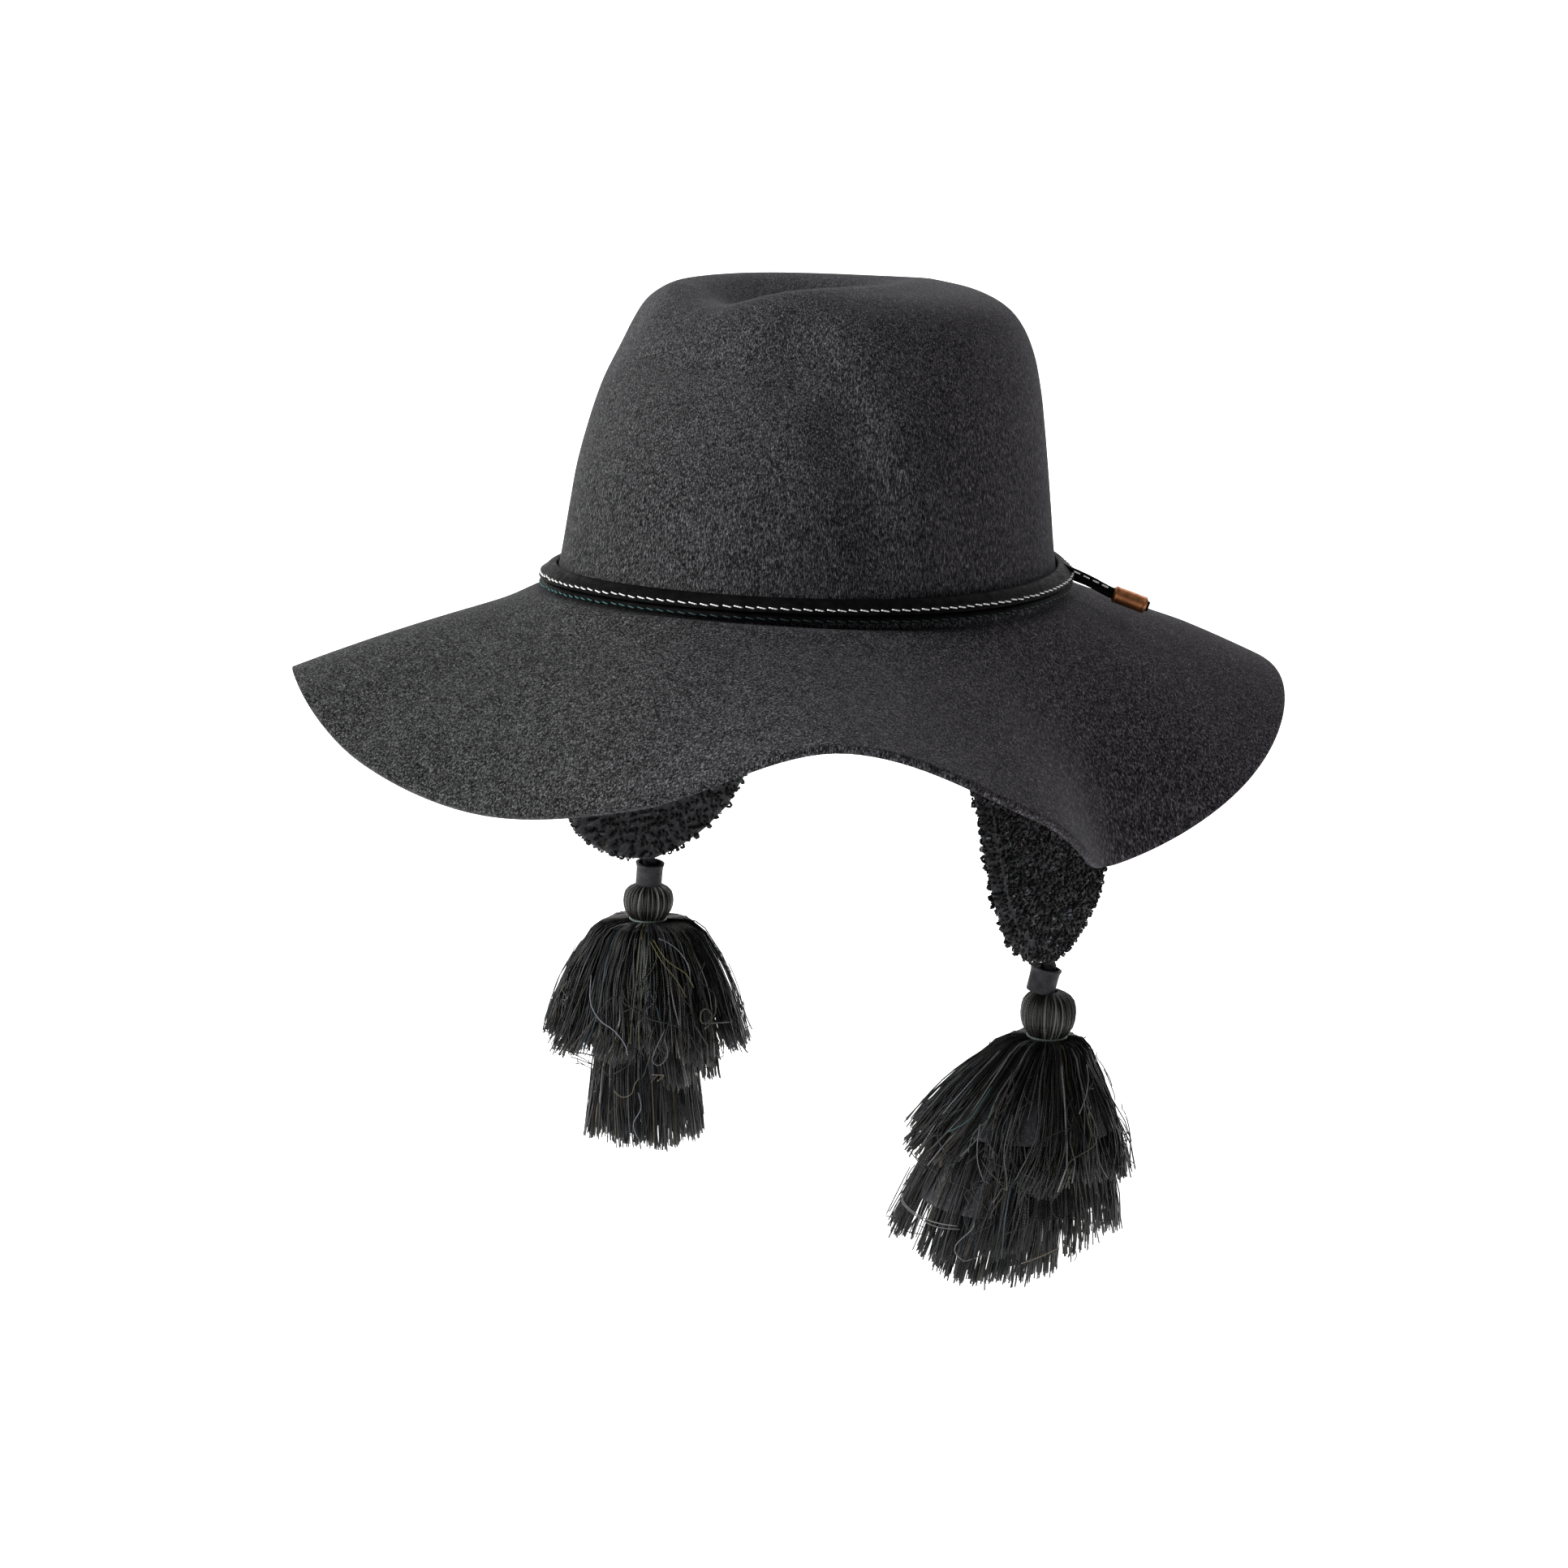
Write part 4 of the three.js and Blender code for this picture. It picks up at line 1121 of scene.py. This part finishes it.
def build_sleeve(side):
    foot = tassel_top(side) + SLEEVE_SHIFTS[side["name"]]
    lean = np.array([*SLEEVE_LEANS[side["name"]], 0])
    outer, wall, length, flare = SLEEVE["outer"], SLEEVE["wall"], SLEEVE["length"], SLEEVE["flare"]
    profile = np.array([(outer - wall, 0.2), (outer - wall * 0.5, 0), (outer - 0.1, 0.1), (outer, 0.6),
                        (outer, length * 0.5), (outer + 0.1, length * 0.8), (outer + flare, length - 0.3),
                        (outer + flare - 0.2, length), (outer + flare - wall, length - 0.1),
                        (outer - wall + 0.1, length * 0.7), (outer - wall, length * 0.4)])

    def place(u, v):
        radius, height = around_profile(profile, v)
        turn = u * 2 * math.pi
        point = np.stack([radius * np.cos(turn), radius * np.sin(turn), height], -1)
        point[:, 2] -= point @ lean
        return foot + point + lean * height[:, None]

    shape = grid_surface(48, 44, place)
    piece = mesh_object(f"{side['name']}_leather_sleeve", shape, grey_leather)
    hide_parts(f"{side['name']}_tassel_sleeve")


def lean_of(drop, side):
    """Share of the tassel's swing at a drop, from 0 at the ball's foot."""
    ball_height = BALLS[side["name"]]["height"]
    swing_length = TIERS[side["name"]][-1]["length"] - ball_height
    return (np.maximum(drop - ball_height, 0) / swing_length) ** 0.8


def swung(radius, angle, drop, side):
    """A point of the tassel from its own axis, with the swing of its foot."""
    lean, swing = lean_of(drop, side), SWING[side["name"]]
    left = radius * np.cos(angle) + swing[0] * lean
    back = radius * np.sin(angle) + swing[1] * lean
    return np.stack([left, back, -drop], -1)


def tier_start(side):
    """The drop at which the threads leave the neck."""
    return BALLS[side["name"]]["height"] + NECK_LENGTH * 0.4


def tier_paths(tier, rng, side):
    """Threads of one tier: most lie in its outer layer, in wavy locks, and all arch out of the neck."""
    count = tier["count"]
    share = np.linspace(0, 1, THREAD_STEPS)[None, :] ** 1.7
    around = rng.uniform(0, 1, (count, 1))
    lock = np.floor(around * tier["locks"])
    in_lock = around * tier["locks"] - lock - 0.5
    wave = rng.uniform(0, 1, (tier["locks"], 3))[lock[:, 0].astype(int)]
    outer = rng.uniform(0, 1, (count, 1)) < OUTER_SHARE
    depth = np.where(outer, rng.uniform(0.88, 1.0, (count, 1)), rng.uniform(0.45, 0.9, (count, 1)))
    gather = 1 - rng.uniform(0, 0.1 * tier["ragged"], (count, 1)) * share ** 1.3
    loose = np.where(rng.uniform(0, 1, (count, 1)) < LOOSE_SHARE, LOOSE_SWAY, 1)
    sway = share * (rng.normal(0, 0.05, (count, 1)) + 0.035 * np.sin(
        2 * math.pi * (share * rng.uniform(0.6, 1.6, (count, 1)) + rng.uniform(0, 1, (count, 1))))) * loose
    sway = sway + share * 0.3 * (wave[:, :1] - 0.5) * np.sin(
        2 * math.pi * (share * (0.5 + 0.6 * wave[:, 1:2]) + wave[:, 2:]))
    angle = 2 * math.pi * (lock + 0.5 + in_lock * gather) / tier["locks"] + sway
    lock_out = 1 + 0.06 * np.sin(lock * 1.7 + 1)
    edge = (2 * np.abs(in_lock)) ** 2
    reach = tier["spread"] * depth * lock_out * (1 - 0.1 * edge)
    bend = tier["shoulder"] + 0.45 * (1 - depth)
    radius = BALL_NECK * rng.uniform(0.72, 1, (count, 1)) + (reach - BALL_NECK) * share ** bend
    radius = radius + 0.6 * share * loose * np.sin(
        2 * math.pi * (share * 1.3 + rng.uniform(0, 1, (count, 1))))
    start = tier_start(side)
    tilt = tier["tilt"] * np.cos(angle[:, -1:] - VIEW_AZIMUTH)
    foot = tier["length"] + tilt + rng.normal(0, 1, (count, 1))
    foot = foot + tier["ragged"] * (np.sin(lock * 2.4) - edge)
    arch = np.sin(math.pi * np.clip(share / 0.2, 0, 1))
    rise = SHOULDER_RISE * depth * rng.uniform(0.5, 1.15, (count, 1)) * arch
    paths = swung(radius, angle, start + (foot - start) * share - rise, side)
    return paths, bundle_tones(around[:, 0], rng)


def bundle_tones(around, rng):
    """Threads that lie together share how light or dark they are."""
    tones = rng.choice(BUNDLE_TONES, BUNDLES, p=BUNDLE_SHARES)
    return tones[(around * BUNDLES).astype(int)]


def tier_radius(side, drop):
    """Radius of the tassel's outer threads at a drop."""
    start = tier_start(side)
    widest = np.zeros_like(drop)
    for tier in TIERS[side["name"]]:
        share = np.clip((drop - start) / (tier["length"] - start), 0.01, None)
        radius = BALL_NECK + (tier["spread"] - BALL_NECK) * share ** tier["shoulder"]
        widest = np.maximum(widest, np.where(share <= 1.02, radius, 0))
    return np.maximum(widest, 20)


def stray_paths(rng, side):
    """Threads that have slipped out of their locks and curl over the tassel."""
    each = (STRAYS, 1)
    step = np.linspace(0, 1, STRAY_STEPS)[None, :]
    longest = TIERS[side["name"]][-1]["length"]
    first = rng.uniform(tier_start(side) + 4, longest - 26, each)
    drop = first + rng.uniform(8, 24, each) * step
    turns = step * rng.uniform(0.4, 1.4, each) + rng.uniform(0, 1, each)
    drop = drop + 1.5 * np.sin(2 * math.pi * turns)
    angle = rng.uniform(0, 2 * math.pi, each) + rng.normal(0, 0.22, each) * step
    turns = step * rng.uniform(0.5, 1.5, each) + rng.uniform(0, 1, each)
    angle = angle + 0.09 * np.sin(2 * math.pi * turns)
    radius = tier_radius(side, drop) * rng.uniform(0.97, 1.02, each) + 0.4
    total = np.cumsum(radius, axis=1)
    radius[:, 2:-1] = (total[:, 3:] - total[:, :-3]) / 3
    return swung(radius, angle, drop, side)


def loose_path(points, side):
    """A single thread laid over the side of the tassel that faces the wearer's left front."""
    knots = np.array(points, dtype=float)
    across, drop = np.moveaxis(rows_at(knots, np.linspace(0, len(knots) - 1, STRAY_STEPS)), -1, 0)
    swing = SWING[side["name"]]
    axis = (swing[0] * right.x + swing[1] * right.y) * lean_of(drop, side)
    radius = tier_radius(side, drop) + 0.9
    turn = np.arcsin(np.clip((across - axis) / radius, -0.97, 0.97))
    return swung(radius, turn + VIEW_AZIMUTH - math.pi / 2, drop, side)


def ball_paths(layer, rng, side):
    """Coils of one layer that run over the ball from its top to the neck."""
    ball, count = BALLS[side["name"]], layer["coils"]
    profile = np.array(BALL_PROFILE) * (ball["half"], -ball["height"])
    radius, height = np.moveaxis(rows_at(profile, np.linspace(0, len(profile) - 1, COIL_STEPS)), -1, 0)
    around = (np.arange(count) + rng.uniform(-0.35, 0.35, count))[:, None] / count * 2 * math.pi
    around = around + rng.normal(0, 0.05, (count, 1)) * np.linspace(-1, 1, COIL_STEPS)[None, :]
    out = radius[None, :] - layer["depth"] + rng.normal(0, 0.14, (count, 1))
    return np.stack([out * np.cos(around), out * np.sin(around), np.broadcast_to(height, out.shape)], -1)


def thread_tones(count, rng):
    tones = THREAD_TONES[rng.choice(len(THREAD_TONES), count, p=TONE_SHARES)]
    return tones * rng.uniform(0.8, 1.2, (count, 1))


def tassel_strands(side, part, paths, radius, tones, sides):
    """Threads given from the top of the ball, as one piece of the tassel."""
    name = f"{side['name']}_tassel_{part}"
    piece = strands(name, tassel_top(side) + paths, radius, tones, tassel_thread, sides)
    return piece


def build_tassel(side):
    name = side["name"]
    rng = np.random.default_rng(side["tassel_seed"])
    tiers = [tier_paths(tier, rng, side) for tier in TIERS[name]]
    skirt = np.concatenate([paths for paths, _ in tiers])
    bundles = np.concatenate([tones for _, tones in tiers])
    radius = THREAD_RADIUS * rng.uniform(0.75, 1.15, len(skirt))
    # The left tassel's lower scale darkens its threads: painted shade.
    tones = thread_tones(len(skirt), rng) * TONE_AND_SHADE_SCALES[name] * bundles[:, None]
    threads = tassel_strands(side, "threads", skirt, radius, tones, sides=3)
    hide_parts(f"{name}_tassel")
    placed = [loose_path(points, side) for _, points in LOOSE[name]]
    strays = np.concatenate([stray_paths(rng, side), placed])
    tones = np.concatenate([thread_tones(STRAYS, rng), [tone for tone, _ in LOOSE[name]]]) * STRAY_TONE
    tassel_strands(side, "strays", strays, STRAY_RADIUS, tones, sides=4)
    coils = np.concatenate([ball_paths(layer, rng, side) for layer in BALL_LAYERS])
    greys = np.array(COIL_GREYS)[rng.choice(len(COIL_GREYS), len(coils), p=COIL_SHARES)]
    # The left ball is darkened the same way: painted shade.
    tones = greys[:, None] * np.array([1.0, 1.0, 0.92]) * (TONE_AND_SHADE_SCALES[name] + BALL_LIGHTER)
    tassel_strands(side, "ball", coils, COIL_RADIUS, tones, sides=6)


def core_tier(side, tier):
    """The inside of one tier, with a flat foot."""
    start, wide = tier_start(side), tier["spread"] * CORE["wide"]

    def place(u, v):
        share = np.clip(v / CORE["side"], 0, 1)
        flare = CORE["neck"] + (wide - CORE["neck"]) * share ** CORE["shoulder"]
        radius = np.where(v < CORE["side"], flare, wide * (1 - v) / (1 - CORE["side"]) + 0.02)
        drop = start + (tier["length"] - CORE["shorter"] - start) * share
        return tassel_top(side) + swung(radius, u * 2 * math.pi, drop, side)

    return grid_surface(40, 30, place)


def core_ball(side):
    """The inside of the ball, down into the neck."""
    ball = BALLS[side["name"]]

    def place(u, v):
        radius = ball["half"] * np.interp(v, *np.transpose(BALL_CORE))
        drop = BALL_CORE_TOP + (ball["height"] + BALL_CORE_LONGER) * v
        return tassel_top(side) + swung(radius, u * 2 * math.pi, drop, side)

    return grid_surface(32, 12, place)


def build_core(side):
    """The dark inside of the tassel, which closes the gaps between its threads. It stands for the inner
    threads, dark like them, and for the shade among them: partly painted shade.
    """
    shapes = [core_tier(side, tier) for tier in TIERS[side["name"]]] + [core_ball(side)]
    for i, shape in enumerate(shapes):
        bmesh.ops.holes_fill(shape, edges=[e for e in shape.edges if e.is_boundary])
        bmesh.ops.recalc_face_normals(shape, faces=shape.faces)
        piece = mesh_object(f"{side['name']}_tassel_shade_core_{i + 1}", shape, knit)


def build_binding(side):
    """Pale thread wound round the neck under the ball."""
    turn = np.linspace(0, 2 * math.pi, 49)
    middle = -BALLS[side["name"]]["height"] - BINDING["below_ball"]
    paths = []
    for i in range(BINDING["turns"]):
        height = middle + BINDING["pitch"] * (i - 0.5) + 0.1 * np.sin(turn * 2 + i)
        around = np.stack([np.cos(turn + 0.5 * i), np.sin(turn + 0.5 * i)]) * BINDING["radius"]
        paths.append(np.stack([*around, height], -1) + tassel_top(side))
    name = f"{side['name']}_neck_binding"
    piece = strands(name, paths, BINDING["thread"], BINDING_TONE, binding_thread, sides=6)
    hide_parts(f"{side['name']}_tassel_binding")


for side in SIDES:
    build_sleeve(side)
    build_tassel(side)
    build_core(side)
    build_binding(side)
